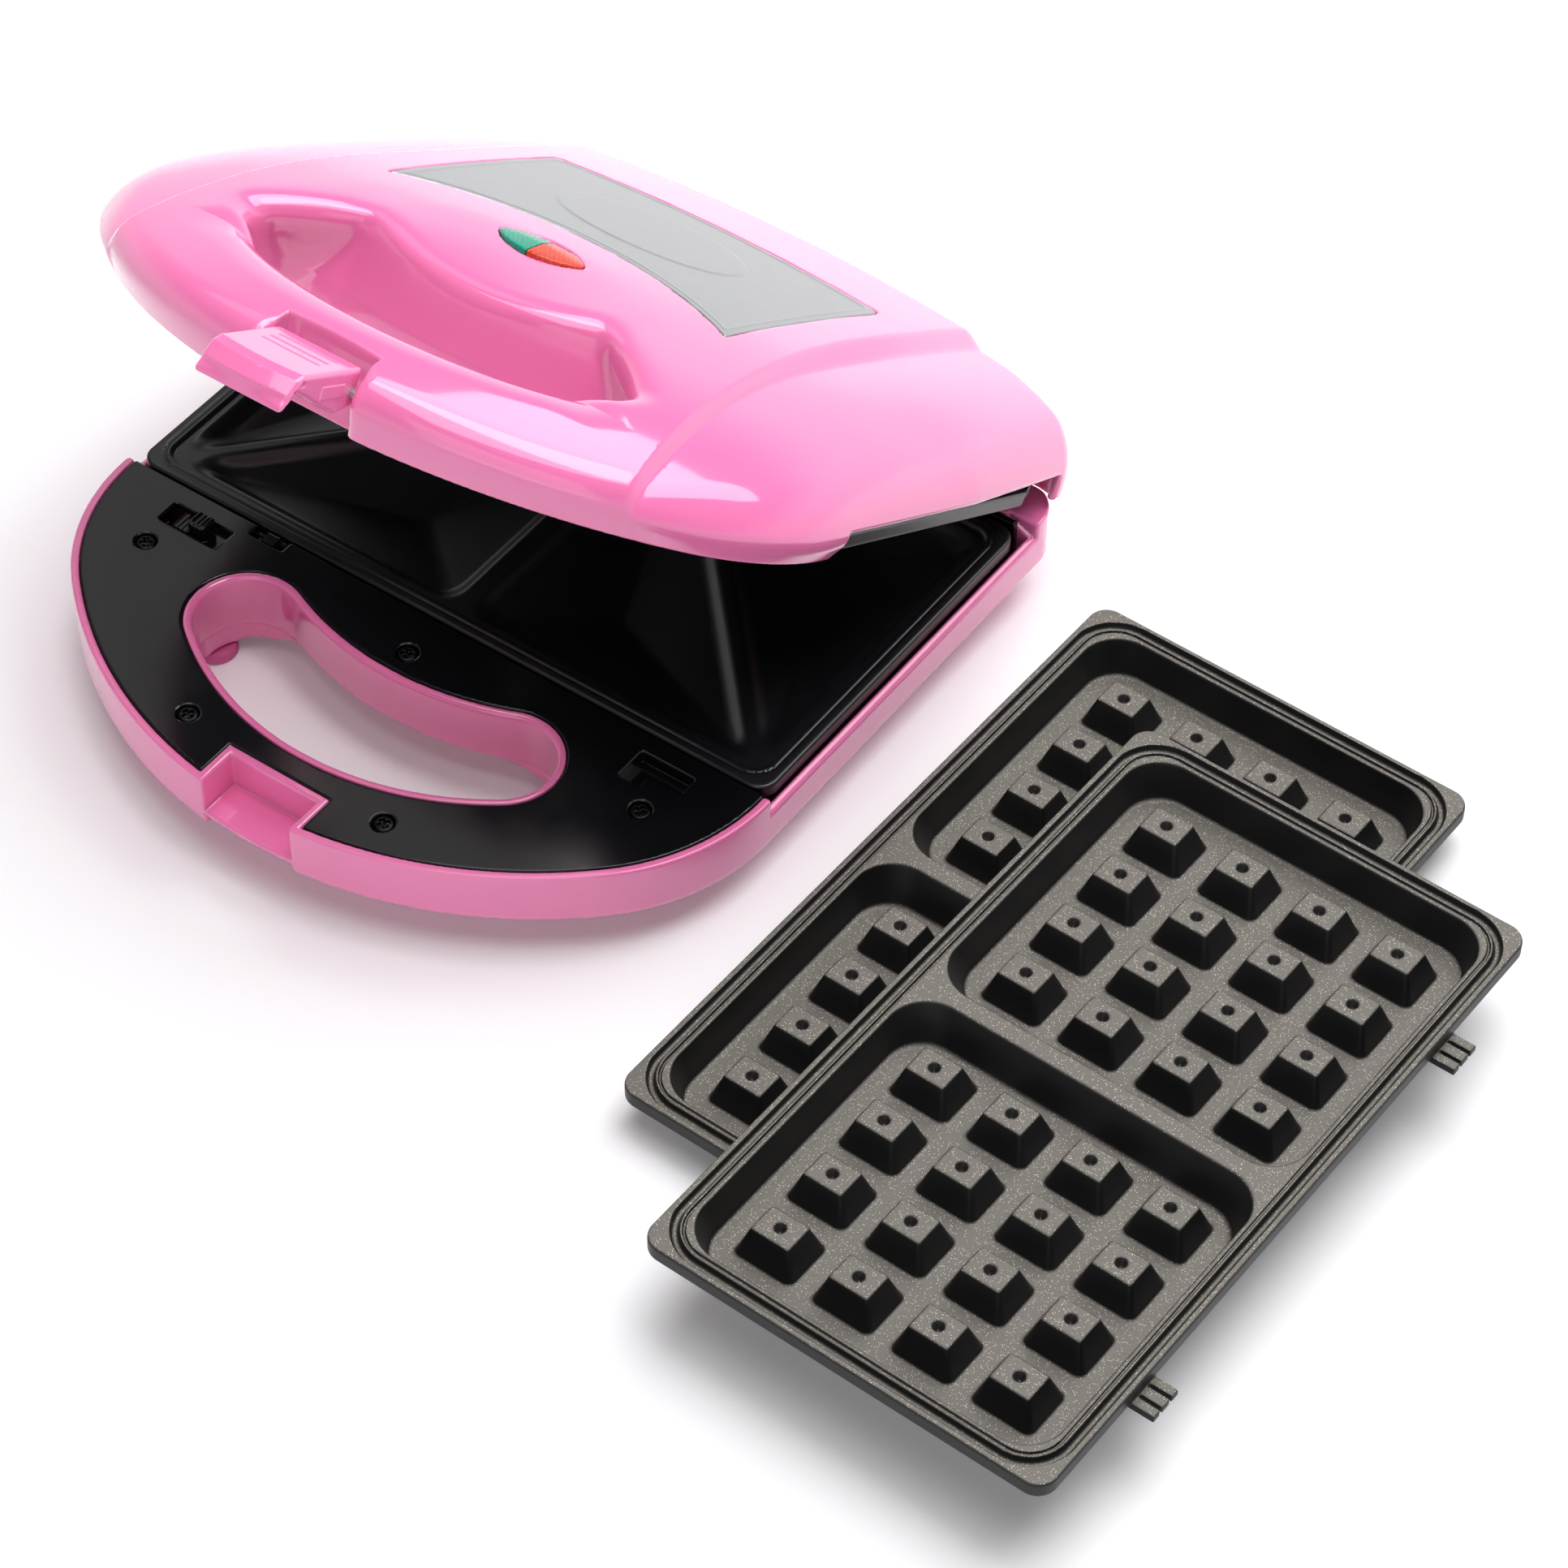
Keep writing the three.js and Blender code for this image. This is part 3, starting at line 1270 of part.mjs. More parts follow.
// Lid shell
function upperHousing() {
  const wall = body.wall;
  const outer = lidBody();
  const shell = outer.subtract(lidForm(wingHeight, wall, wall));
  const above = (solid) => solid.intersect(outer);
  const gripRing = (grow, z) => ({ outline: gripOutline(grow), z });
  const roofZ = lid.top + OVERRUN;
  const flareStart = latch.pivotZ;
  const tube = above(stack([
    gripRing(grip.lip, lidRim),
    gripRing(grip.lip, flareStart),
    gripRing(grip.lip + grip.lidFlare, roofZ),
  ]));
  const gripCut = stack([
    gripRing(0, 0),
    gripRing(0, flareStart),
    gripRing(grip.lidFlare, roofZ),
  ]);
  const half = latch.halfWidth + latch.sideGap;
  const pocketBack = latch.pocketBack;
  const pocketWalls = above(block(-half - latch.pocketWall, half + latch.pocketWall,
    body.front - lid.noseReach, pocketBack + latch.pocketWall, lidRim, roofZ));
  const pocketCut = block(-half, half, body.front - 2 * lid.noseReach, pocketBack, 0, roofZ);
  const latchPinBore = rodX(-half - latch.pocketWall - OVERRUN, half + latch.pocketWall + OVERRUN,
    latch.pivotY, latch.pivotZ, latch.pinRadius + GAP, 10);
  const relief = rodX(-body.halfWidth - OVERRUN, body.halfWidth + OVERRUN, hinge.y, hinge.z,
    hinge.barrelRadius + hinge.clearance, 24);
  const arms = [-1, 1].map((side) => {
    const x0 = side * hingeX - hinge.armWidth / 2;
    const x1 = side * hingeX + hinge.armWidth / 2;
    const arm = block(x0, x1, hinge.y - hinge.armRadius, hinge.y + hinge.armRadius, hinge.z, roofZ);
    return rodX(x0, x1, hinge.y, hinge.z, hinge.armRadius).add(arm.intersect(outer.add(belowRim(x0, x1))));
  });
  const armBores = [-1, 1].map((side) => rodX(
    side * hingeX - hinge.armWidth, side * hingeX + hinge.armWidth,
    hinge.y, hinge.z, hinge.pinRadius + GAP, 12,
  ));
  const fittings = above(mountings(2 * PARTING_Z - roofZ).mirror([0, 0, 1]).translate([0, 0, 2 * PARTING_Z])
    .mirror([1, 0, 0]));
  const badgeSeat = prism(badgeOutline(GAP), lidRim, roofZ)
    .subtract(lidForm(crownHeight, 0, badge.seatDepth));
  const lensSeat = prism(lensOutline(GAP), roofAt(lens.y) - 2 * lens.depth, roofZ);
  const lampPosts = above(join([-1, 1].map((side) => rodZ(
    side * (lamp.boardHalfWidth - lamp.postRadius), lens.y + lamp.length / 2,
    roofAt(lens.y) - lens.depth - lamp.drop + GAP, roofZ, lamp.postRadius, 8,
  ))));
  const sideCuts = sideBlocks(plate.length / 2 - plate.panInset, body.halfWidth + 2 * lid.noseReach,
    lid.sideCutFront, lid.sideCutRear, 0, lid.sideCutTop);
  const opened = cutAll(join([shell, tube, pocketWalls, fittings, lampPosts]), [relief, sideCuts]);
  const cuts = [gripCut, pocketCut, latchPinBore, ...armBores, badgeSeat, lensSeat];
  return cutAll(join([opened, ...arms]), cuts);
}

// Space between the lid's rim and the hinge axis, where an arm leaves the lid
function belowRim(x0, x1) {
  return block(x0, x1, hinge.y - hinge.armRadius, hinge.y + hinge.armRadius, hinge.z, lidRim + OVERRUN);
}

// Lid with everything that swings with it, opened about the hinge
function lidGroup() {
  const closed = new THREE.Group();
  closed.position.set(0, -hinge.y, -hinge.z);
  closed.add(toMesh('upper_housing', upperHousing(), pinkPlastic));
  closed.add(toMesh('badge_plate', badgePlate(), steel));
  closed.add(toMesh('power_lens', lensHalf(-1), greenLens));
  closed.add(toMesh('ready_lens', lensHalf(1), redLens));
  closed.add(toMesh('lamp_board', lampBoard(), ceramic));
  closed.add(toMesh('power_lamp', neonLamp(-1), lampGlass));
  closed.add(toMesh('ready_lamp', neonLamp(1), lampGlass));
  closed.add(toMesh('latch', latchPiece(), pinkPlastic));
  const pinHalf = latch.halfWidth + latch.sideGap + latch.pocketWall - GAP;
  const latchPin = rodX(-pinHalf, pinHalf, latch.pivotY, latch.pivotZ, latch.pinRadius, 10);
  closed.add(toMesh('latch_pin', latchPin, steel));
  const turnedOver = new THREE.Group();
  turnedOver.rotation.y = Math.PI;
  turnedOver.position.z = 2 * PARTING_Z;
  turnedOver.add(...innards('upper'));
  closed.add(turnedOver);
  const swung = new THREE.Group();
  swung.position.set(0, hinge.y, hinge.z);
  swung.rotation.x = -THREE.MathUtils.degToRad(hinge.openInPhoto);
  swung.add(closed);
  return swung;
}

// Waffle plates, one flat on the table and one across it
function waffleGroup() {
  const group = new THREE.Group();
  const place = (name, x, y, z, turn) => {
    const mesh = toMesh(name, wafflePlate(), bronzeCoating);
    mesh.position.set(x, y, z);
    mesh.rotation.z = THREE.MathUtils.degToRad(turn) - Math.PI / 2;
    group.add(mesh);
  };
  place('waffle_plate_back', waffleBackX, waffle.backY, 0, waffle.backTurn);
  place('waffle_plate_front', waffleFrontX, waffle.frontY, waffle.depth + GAP, waffle.frontTurn);
  return group;
}

// The whole set, moved so that the middle of its box's underside is the origin
const set = new THREE.Group();
set.add(baseGroup(), lidGroup(), waffleGroup());
set.updateMatrixWorld(true);
const box = new THREE.Box3().setFromObject(set, true);
set.position.set(-(box.min.x + box.max.x) / 2, -(box.min.y + box.max.y) / 2, -box.min.z);
set.updateMatrixWorld(true);

export default set;
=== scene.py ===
"""Two-square waffle maker with its lid ajar and its second pair of plates beside it.

Every form is worked out in millimetres on the appliance's own axes: x = 0 is its middle, y = 0 the
front edge of the fitted plate and z = 0 the table. Lid pieces are worked out with the lid shut.
"""
from __future__ import annotations

import logging
import math
from dataclasses import dataclass, field
from enum import Enum
from functools import reduce
from typing import Any, Callable, Union

import bpy
import numpy as np
from mathutils import Matrix, Vector


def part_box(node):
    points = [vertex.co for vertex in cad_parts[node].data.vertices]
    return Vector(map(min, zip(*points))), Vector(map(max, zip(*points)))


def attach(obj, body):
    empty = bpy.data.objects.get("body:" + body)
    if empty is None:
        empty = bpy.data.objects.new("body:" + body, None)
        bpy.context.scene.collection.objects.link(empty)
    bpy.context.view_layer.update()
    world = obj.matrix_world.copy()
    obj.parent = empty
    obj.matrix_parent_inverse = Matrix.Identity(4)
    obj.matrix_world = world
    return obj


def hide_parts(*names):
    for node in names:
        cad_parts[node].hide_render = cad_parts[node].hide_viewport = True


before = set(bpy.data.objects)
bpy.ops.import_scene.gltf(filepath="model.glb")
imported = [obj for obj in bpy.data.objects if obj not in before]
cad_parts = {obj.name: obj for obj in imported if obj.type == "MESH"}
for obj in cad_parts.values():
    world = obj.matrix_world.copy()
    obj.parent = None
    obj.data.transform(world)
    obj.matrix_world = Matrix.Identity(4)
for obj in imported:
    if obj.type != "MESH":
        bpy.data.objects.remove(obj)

LOG = logging.getLogger("waffle_maker")
MM = 0.001
PHOTO_PIXELS = 1932
PARTING = 31.0
WHITE = "#ffffff"
SETTLE_STEP = 0.05
NORMAL_STEP = 0.12
TINY = 1e-9
Array = np.ndarray
Form = Callable[[Array, Array, Array], Array]
Tree = bpy.types.NodeTree
Socket = bpy.types.NodeSocket
Value = Union[float, tuple, Socket]
Pair = tuple[float, float]


# Distance helpers

def most(*distances: Array) -> Array:
    """Largest of the distances: the space that all forms share."""
    return reduce(np.maximum, distances)


def least(*distances: Array) -> Array:
    """Smallest of the distances: the space of all forms together."""
    return reduce(np.minimum, distances)


def blended(a: Array, b: Array, blend: float | Array) -> Array:
    """What a fillet of about that size takes up where two distances are alike."""
    near = np.maximum(blend - np.abs(a - b), 0) / blend
    return near * near * blend / 4


def soft_min(a: Array, b: Array, blend: float | Array) -> Array:
    """Smaller of two distances, blended over a fillet of about that size."""
    return np.minimum(a, b) - blended(a, b, blend)


def soft_max(a: Array, b: Array, blend: float | Array) -> Array:
    """Larger of two distances, blended over a round of about that size."""
    return np.maximum(a, b) + blended(a, b, blend)


def carve(form: Array, *cuts: tuple[Array, float | Array]) -> Array:
    """Form less each cut in turn, with the new edges rounded by the size beside it.

    Args:
        form: distance to the form.
        cuts: distance to each cut, with the size of its round.

    Returns:
        Distance to what is left.
    """
    for cut, blend in cuts:
        form = soft_max(form, -cut, blend)
    return form


def ease(value: Array) -> Array:
    """Smooth step from 0 to 1."""
    share = np.clip(value, 0, 1)
    return share * share * (3 - 2 * share)


def slab(x: Array, low: float, high: float) -> Array:
    """Distance to the space between two parallel planes."""
    return np.abs(x - (low + high) / 2) - (high - low) / 2


def block(x: Array, y: Array, z: Array, xs: Pair, ys: Pair, zs: Pair) -> Array:
    """Distance to a block between three pairs of planes."""
    return most(slab(x, *xs), slab(y, *ys), slab(z, *zs))


def rounded(a: Array, b: Array, radius: float) -> Array:
    """Distance to a rounded corner between two faces, each given as drawn in by the radius."""
    outside = np.hypot(np.maximum(a, 0), np.maximum(b, 0))
    return outside + np.minimum(np.maximum(a, b), 0) - radius


def rectangle(x: Array, y: Array, sides: tuple, radius: float) -> Array:
    """Distance to a rectangle with rounded corners, its sides at x0, x1, y0 and y1."""
    x0, x1, y0, y1 = sides
    return rounded(slab(x, x0, x1) + radius, slab(y, y0, y1) + radius, radius)


def polygon(u: Array, v: Array, corners: tuple) -> Array:
    """Distance to a closed polygon, negative inside.

    Args:
        u: first coordinate of the points.
        v: second coordinate of the points.
        corners: the polygon's corners in order.

    Returns:
        The signed distance at each point.
    """
    nearest = np.inf
    inside = False
    for i, (u1, v1) in enumerate(corners):
        u0, v0 = corners[i - 1]
        du, dv = u1 - u0, v1 - v0
        share = np.clip(((u - u0) * du + (v - v0) * dv) / (du * du + dv * dv), 0, 1)
        nearest = np.minimum(nearest, np.hypot(u - u0 - share * du, v - v0 - share * dv))
        if v0 != v1:
            inside = inside ^ (((v0 > v) != (v1 > v)) & (u < du * (v - v0) / dv + u0))
    return np.where(inside, -nearest, nearest)


# Mesh from a distance form

@dataclass(frozen=True)
class Casting:
    """A closed form given by its distance function, cast as an even mesh with true normals.

    Args:
        form: distance in millimetres at points x, y, z, negative inside.
        low: lowest corner of the space that holds the form.
        high: highest corner of that space.
        cell: size of the sampling cells.
        triangles: how many triangles the finished mesh may have.
    """

    form: Form
    low: tuple[float, float, float]
    high: tuple[float, float, float]
    cell: float
    triangles: int

    def mesh(self, name: str) -> bpy.types.Mesh:
        """Samples the form, skins it and thins the skin out.

        Args:
            name: name of the mesh.

        Returns:
            A mesh in metres on the appliance's own axes, with normals taken from the form.
        """
        cell = self.cell * 1
        margin = 2 * cell
        axes = [np.arange(lo - margin, hi + 2 * margin, cell, dtype=np.float32)
                for lo, hi in zip(self.low, self.high)]
        values = np.broadcast_to(self.form(*np.ix_(*axes)), [len(a) for a in axes]).astype(np.float32)
        start = np.array([a[0] for a in axes], dtype=np.float64)
        points, quads = self._skin(values, start, cell)
        made = bpy.data.meshes.new(name)
        self._fill(made, self._settle(points, 3, cell) * MM, quads)
        wanted = self.triangles / 1
        if len(quads) * 2 > wanted:
            made = self._thinned(made, wanted / (len(quads) * 2))
        places = np.empty(len(made.vertices) * 3)
        made.vertices.foreach_get("co", places)
        points = self._settle(places.reshape(-1, 3) / MM, 1, cell)
        made.vertices.foreach_set("co", (points * MM).ravel())
        normals = self._slope(points, NORMAL_STEP)
        normals /= np.maximum(np.linalg.norm(normals, axis=1, keepdims=True), TINY)
        made.polygons.foreach_set("use_smooth", np.ones(len(made.polygons), dtype=bool))
        made.update()
        made.normals_split_custom_set_from_vertices(normals.tolist())
        made.name = name
        return made

    def _distance(self, points: Array) -> Array:
        """Distance at a list of points."""
        return self.form(points[:, 0], points[:, 1], points[:, 2])

    def _slope(self, points: Array, step: float) -> Array:
        """Slope of the distance at each point, by central differences.

        Args:
            points: places in millimetres, one a row.
            step: how far the differences reach.

        Returns:
            Slope along each axis, one row a point.
        """
        slope = np.empty_like(points)
        for axis in range(3):
            shift = np.zeros(3)
            shift[axis] = step
            slope[:, axis] = (self._distance(points + shift) - self._distance(points - shift)) / (2 * step)
        return slope

    def _settle(self, points: Array, times: int, cell: float) -> Array:
        """Moves points onto the form's surface, by at most a third of a cell each time.

        Args:
            points: places in millimetres, one a row.
            times: how often the points are moved.
            cell: size of a cell.

        Returns:
            The moved points.
        """
        for _ in range(times):
            slope = self._slope(points, SETTLE_STEP)
            square = np.maximum((slope ** 2).sum(axis=1), 0.05)
            move = -(self._distance(points) / square)[:, None] * slope
            length = np.linalg.norm(move, axis=1, keepdims=True)
            points = points + move * np.minimum(1, cell / 3 / np.maximum(length, TINY))
        return points

    @staticmethod
    def _skin(values: Array, start: Array, cell: float) -> tuple[Array, Array]:
        """One point per cell that the surface crosses, joined by four-sided faces.

        Args:
            values: distances at the grid's points.
            start: place of the grid's first point.
            cell: size of a cell.

        Returns:
            Points and faces, the faces turned outwards.
        """
        inside = values < 0
        nx, ny, nz = (n - 1 for n in values.shape)
        corners = [(i, j, k) for i in (0, 1) for j in (0, 1) for k in (0, 1)]
        count = np.zeros((nx, ny, nz), dtype=np.uint8)
        for i, j, k in corners:
            count += inside[i:i + nx, j:j + ny, k:k + nz]
        mixed = (count > 0) & (count < len(corners))
        index = np.full((nx, ny, nz), -1, dtype=np.int64)
        cells = np.argwhere(mixed)
        index[mixed] = np.arange(len(cells))
        at = {c: values[tuple((cells + c).T)] for c in corners}
        total = np.zeros((len(cells), 3))
        hits = np.zeros(len(cells))
        for first in corners:
            for axis in range(3):
                if first[axis]:
                    continue
                second = tuple(v + (axis == n) for n, v in enumerate(first))
                a, b = at[first], at[second]
                crossed = (a < 0) != (b < 0)
                share = a[crossed] / (a[crossed] - b[crossed])
                spot = np.tile(np.array(first, dtype=float), (len(share), 1))
                spot[:, axis] += share
                total[crossed] += spot
                hits[crossed] += 1
        points = start + cell * (cells + total / hits[:, None])
        faces = []
        for axis in range(3):
            u, v = (axis + 1) % 3, (axis + 2) % 3
            here, ahead = [slice(1, -1)] * 3, [slice(1, -1)] * 3
            here[axis], ahead[axis] = slice(0, -1), slice(1, None)
            near, far = inside[tuple(here)], inside[tuple(ahead)]
            edges = np.argwhere(near != far)
            outwards = near[tuple(edges.T)]
            base = edges + 1
            base[:, axis] -= 1
            ring = []
            for du, dv in ((-1, -1), (0, -1), (0, 0), (-1, 0)):
                spot = base.copy()
                spot[:, u] += du
                spot[:, v] += dv
                ring.append(index[tuple(spot.T)])
            quad = np.stack(ring, axis=1)
            quad[~outwards] = quad[~outwards][:, ::-1]
            faces.append(quad)
        return points, np.concatenate(faces)

    @staticmethod
    def _fill(mesh: bpy.types.Mesh, points: Array, quads: Array) -> None:
        """Puts points and four-sided faces into an empty mesh.

        Args:
            mesh: the mesh to work on.
            points: places in metres, one a row.
            quads: faces, by the numbers of their points.
        """
        mesh.vertices.add(len(points))
        mesh.vertices.foreach_set("co", points.ravel())
        mesh.loops.add(quads.size)
        mesh.loops.foreach_set("vertex_index", quads.ravel().astype(np.int32))
        mesh.polygons.add(len(quads))
        mesh.polygons.foreach_set("loop_start", np.arange(0, quads.size, 4, dtype=np.int32))
        mesh.polygons.foreach_set("loop_total", np.full(len(quads), 4, dtype=np.int32))
        mesh.update(calc_edges=True)
        mesh.validate()

    @staticmethod
    def _thinned(mesh: bpy.types.Mesh, ratio: float) -> bpy.types.Mesh:
        """The mesh with faces collapsed where it is flat.

        Args:
            mesh: the mesh to work on.
            ratio: share of the faces that stays.

        Returns:
            The thinned mesh.
        """
        holder = put("thinning", mesh)
        thinner = holder.modifiers.new("thinner", "DECIMATE")
        thinner.ratio = ratio
        graph = bpy.context.evaluated_depsgraph_get()
        thin = bpy.data.meshes.new_from_object(holder.evaluated_get(graph))
        bpy.data.objects.remove(holder)
        bpy.data.meshes.remove(mesh)
        return thin


# Nodes and colours

def put(name: str, data: Any) -> bpy.types.Object:
    """Adds an object to the scene.

    Args:
        name: name of the object.
        data: its mesh, lamp or camera.

    Returns:
        The new object.
    """
    made = bpy.data.objects.new(name, data)
    bpy.context.scene.collection.objects.link(made)
    return made


def linear(code: str, share: float = 1.0, lift: float = 0.0) -> tuple[float, float, float, float]:
    """Linear colour from an sRGB hex code such as #f78cc3, times share and plus lift.

    Args:
        code: the sRGB code.
        share: factor on each linear part.
        lift: what each part gains.

    Returns:
        Red, green, blue and a whole alpha.
    """
    parts = [int(code[i:i + 2], 16) / 255 for i in (1, 3, 5)]
    parts = [s / 12.92 if s <= 0.04045 else ((s + 0.055) / 1.055) ** 2.4 for s in parts]
    r, g, b = (min(1.0, s * share + lift) for s in parts)
    return r, g, b, 1.0


def cleared(owner: Any) -> Tree:
    """Node tree of a material or world, emptied.

    Args:
        owner: the material or world.

    Returns:
        The empty node tree.
    """
    owner.use_nodes = True
    owner.node_tree.nodes.clear()
    return owner.node_tree


def add(tree: Tree, kind: str, inputs: dict[Any, Value] | None = None, **settings: Any) -> Any:
    """Adds one node with its settings, values and links.

    Args:
        tree: node tree that gets the node.
        kind: the node's type.
        inputs: values or sockets for the node's inputs, by name or number.
        settings: the node's own properties.

    Returns:
        The new node.
    """
    node = tree.nodes.new(kind)
    for name, value in settings.items():
        setattr(node, name, value)
    for name, value in (inputs or {}).items():
        if isinstance(value, bpy.types.NodeSocket):
            tree.links.new(value, node.inputs[name])
        else:
            node.inputs[name].default_value = value
    return node


def operate(tree: Tree, operation: str, a: Value, b: Value) -> Socket:
    """Result of one operation on two values."""
    return add(tree, "ShaderNodeMath", {0: a, 1: b}, operation=operation).outputs[0]


def mix(tree: Tree, factor: Value, low: Value, high: Value) -> Socket:
    """Colour between two colours."""
    return add(tree, "ShaderNodeMix", {0: factor, 6: low, 7: high}, data_type="RGBA").outputs[2]


def stretch(tree: Tree, value: Socket, start: Pair, end: Pair = (0.0, 1.0), kind: str = "LINEAR") -> Socket:
    """Value carried from one range to another.

    Args:
        tree: node tree that gets the nodes.
        value: the value.
        start: ends of the value's own range.
        end: ends of the range that it is carried to.
        kind: how it is carried there.

    Returns:
        The carried value.
    """
    return add(tree, "ShaderNodeMapRange", {
        "Value": value, "From Min": start[0], "From Max": start[1], "To Min": end[0], "To Max": end[1],
    }, interpolation_type=kind).outputs["Result"]


def scaled(tree: Tree, coords: Socket, sizes: tuple) -> Socket:
    """Coordinates counted in sizes, one in millimetres for each axis."""
    scale = [1 / (MM * size) for size in sizes]
    return add(tree, "ShaderNodeVectorMath", {0: coords, 1: scale}, operation="MULTIPLY").outputs[0]


def noise(tree: Tree, coords: Socket, size: float, detail: float, run: float = 1.0) -> Socket:
    """Noise with blobs of about size millimetres, drawn out along x by run.

    Args:
        tree: node tree that gets the nodes.
        coords: coordinates in metres.
        size: size of the blobs, in millimetres.
        detail: how many finer layers there are.
        run: how far blobs are drawn out along x.

    Returns:
        The noise, from 0 to 1.
    """
    return add(tree, "ShaderNodeTexNoise", {
        "Vector": scaled(tree, coords, (size * run, size, size)), "Scale": 1.0, "Detail": detail,
        "Roughness": 0.55,
    }).outputs["Fac"]


# Finishes

@dataclass(frozen=True)
class Finish:
    """A surface named for its material and for how it was made.

    Args:
        name: the material's name.
        tint: its sRGB colour.
        roughness: middle value of its roughness.
        metallic: 1 for bare metal.
        ior: refractive index of a plastic, rubber, glass or coating.
        coat: weight of a clear top layer.
        spread: how far the roughness strays either way.
        patch: size of the patches of softer sheen, in millimetres.
        grain: size of the grain in relief, in millimetres.
        detail: how many finer layers the grain has.
        depth: depth of the grain, in millimetres.
    """

    name: str
    tint: str
    roughness: float
    metallic: float = 0.0
    ior: float = 1.5
    coat: float = 0.0
    spread: float = 0.03
    patch: float = 18.0
    grain: float = 0.9
    detail: float = 2.0
    depth: float = 0.02

    def material(self) -> bpy.types.Material:
        """The finish as a material, made once.

        Returns:
            The material.
        """
        known = bpy.data.materials.get(self.name)
        if known:
            return known
        made = bpy.data.materials.new(self.name)
        tree = cleared(made)
        shader = add(tree, "ShaderNodeBsdfPrincipled", {
            "Base Color": linear(self.tint), "Roughness": self.roughness, "Metallic": self.metallic,
            "Coat Weight": self.coat, "Coat Roughness": 0.05,
        })
        if not self.metallic:
            shader.inputs["IOR"].default_value = self.ior
        add(tree, "ShaderNodeOutputMaterial", {"Surface": shader.outputs["BSDF"]})
        self.texture(tree, shader, add(tree, "ShaderNodeTexCoord").outputs["Object"])
        made.diffuse_color = linear(self.tint)
        return made

    def texture(self, tree: Tree, shader: Any, coords: Socket) -> None:
        """Patches of softer sheen and a grain in relief."""
        self.stray(tree, shader, noise(tree, coords, self.patch, 4.0))
        self.relief(tree, shader, noise(tree, coords, self.grain, self.detail), self.depth)

    def stray(self, tree: Tree, shader: Any, factor: Socket) -> None:
        """Lets the roughness stray about its middle value."""
        ends = (self.roughness - self.spread, self.roughness + self.spread)
        tree.links.new(stretch(tree, factor, (0.3, 0.7), ends), shader.inputs["Roughness"])

    def relief(self, tree: Tree, shader: Any, height: Socket, depth: float) -> None:
        """Raises the surface by a height pattern of that depth in millimetres."""
        bump = add(tree, "ShaderNodeBump", {"Height": height, "Strength": 1.0, "Distance": depth * MM})
        tree.links.new(bump.outputs["Normal"], shader.inputs["Normal"])

    def paint(self, tree: Tree, shader: Any, factor: Socket, low: Value, high: Value) -> None:
        """Tints the surface between two colours."""
        tree.links.new(mix(tree, factor, low, high), shader.inputs["Base Color"])


@dataclass(frozen=True)
class GlossMouldedAbs(Finish):
    """Polished-mould ABS: deep even colour, sharp highlights that waver a little over sink marks."""

    patch: float = 14.0
    grain: float = 26.0
    detail: float = 1.0
    depth: float = 0.05

    def texture(self, tree: Tree, shader: Any, coords: Socket) -> None:
        """A slow waver of the gloss, a very shallow ripple of the wall and a faint drift of colour."""
        super().texture(tree, shader, coords)
        self.paint(tree, shader, noise(tree, coords, 60.0, 1.0), linear(self.tint), linear(self.tint, 0.97))


@dataclass(frozen=True)
class SatinMouldedAbs(Finish):
    """Spark-eroded-mould ABS: near black, its fine grain a little coarser than the real 0.1 mm."""

    patch: float = 22.0
    grain: float = 0.45
    depth: float = 0.012


@dataclass(frozen=True)
class NonStickCoating(Finish):
    """Sprayed and baked non-stick coat on cast aluminium: soft sheen with a slight orange peel."""


@dataclass(frozen=True)
class FlakedNonStickCoating(Finish):
    """Sprayed non-stick coat with mica flakes; painted shade colours its walls and steep faces darker than
    its level faces, and the flakes show only on the level faces.
    """

    fleck: float = 0.5
    fleck_tint: str = "#efe6d6"
    # Painted shade: the colour given to walls and steep faces.
    painted_wall_shade: str = "#131214"

    def texture(self, tree: Tree, shader: Any, coords: Socket) -> None:
        """Sandy relief, painted shade by the slope of the face (steep faces dark, level faces light) and
        scattered flakes of about 0.2 mm on the level faces.

        Args:
            tree: node tree that gets the nodes.
            shader: the shader that is dressed.
            coords: coordinates in metres.
        """
        sand = noise(tree, coords, 0.5, 3.0)
        normal = add(tree, "ShaderNodeTexCoord").outputs["Normal"]
        upward = add(tree, "ShaderNodeSeparateXYZ", {0: normal}).outputs["Z"]
        # Painted top light: 1 on level faces, falling to 0 on steep ones.
        painted_top_light = stretch(tree, upward, (0.55, 0.97), kind="SMOOTHSTEP")
        grains = stretch(tree, sand, (0.32, 0.68), (0.72, 1.0))
        # Painted shade: steep faces and walls near black, level faces in the tint, with the sand noise
        # varying the tone at random.
        share = operate(tree, "MULTIPLY", painted_top_light, grains)
        coat = mix(tree, share, linear(self.painted_wall_shade), linear(self.tint))
        spots = add(tree, "ShaderNodeTexVoronoi", {
            "Vector": scaled(tree, coords, (self.fleck,) * 3), "Scale": 1.0,
        })
        small = operate(tree, "LESS_THAN", spots.outputs["Distance"], 0.22)
        chance = add(tree, "ShaderNodeSeparateColor", {0: spots.outputs["Color"]}).outputs[0]
        rare = operate(tree, "GREATER_THAN", chance, 0.55)
        # The light flakes are drawn only on level faces, where the painted top light is.
        flake = operate(tree, "MULTIPLY", operate(tree, "MULTIPLY", small, rare), painted_top_light)
        self.paint(tree, shader, flake, coat, linear(self.fleck_tint))
        self.stray(tree, shader, sand)
        self.relief(tree, shader, sand, self.depth)


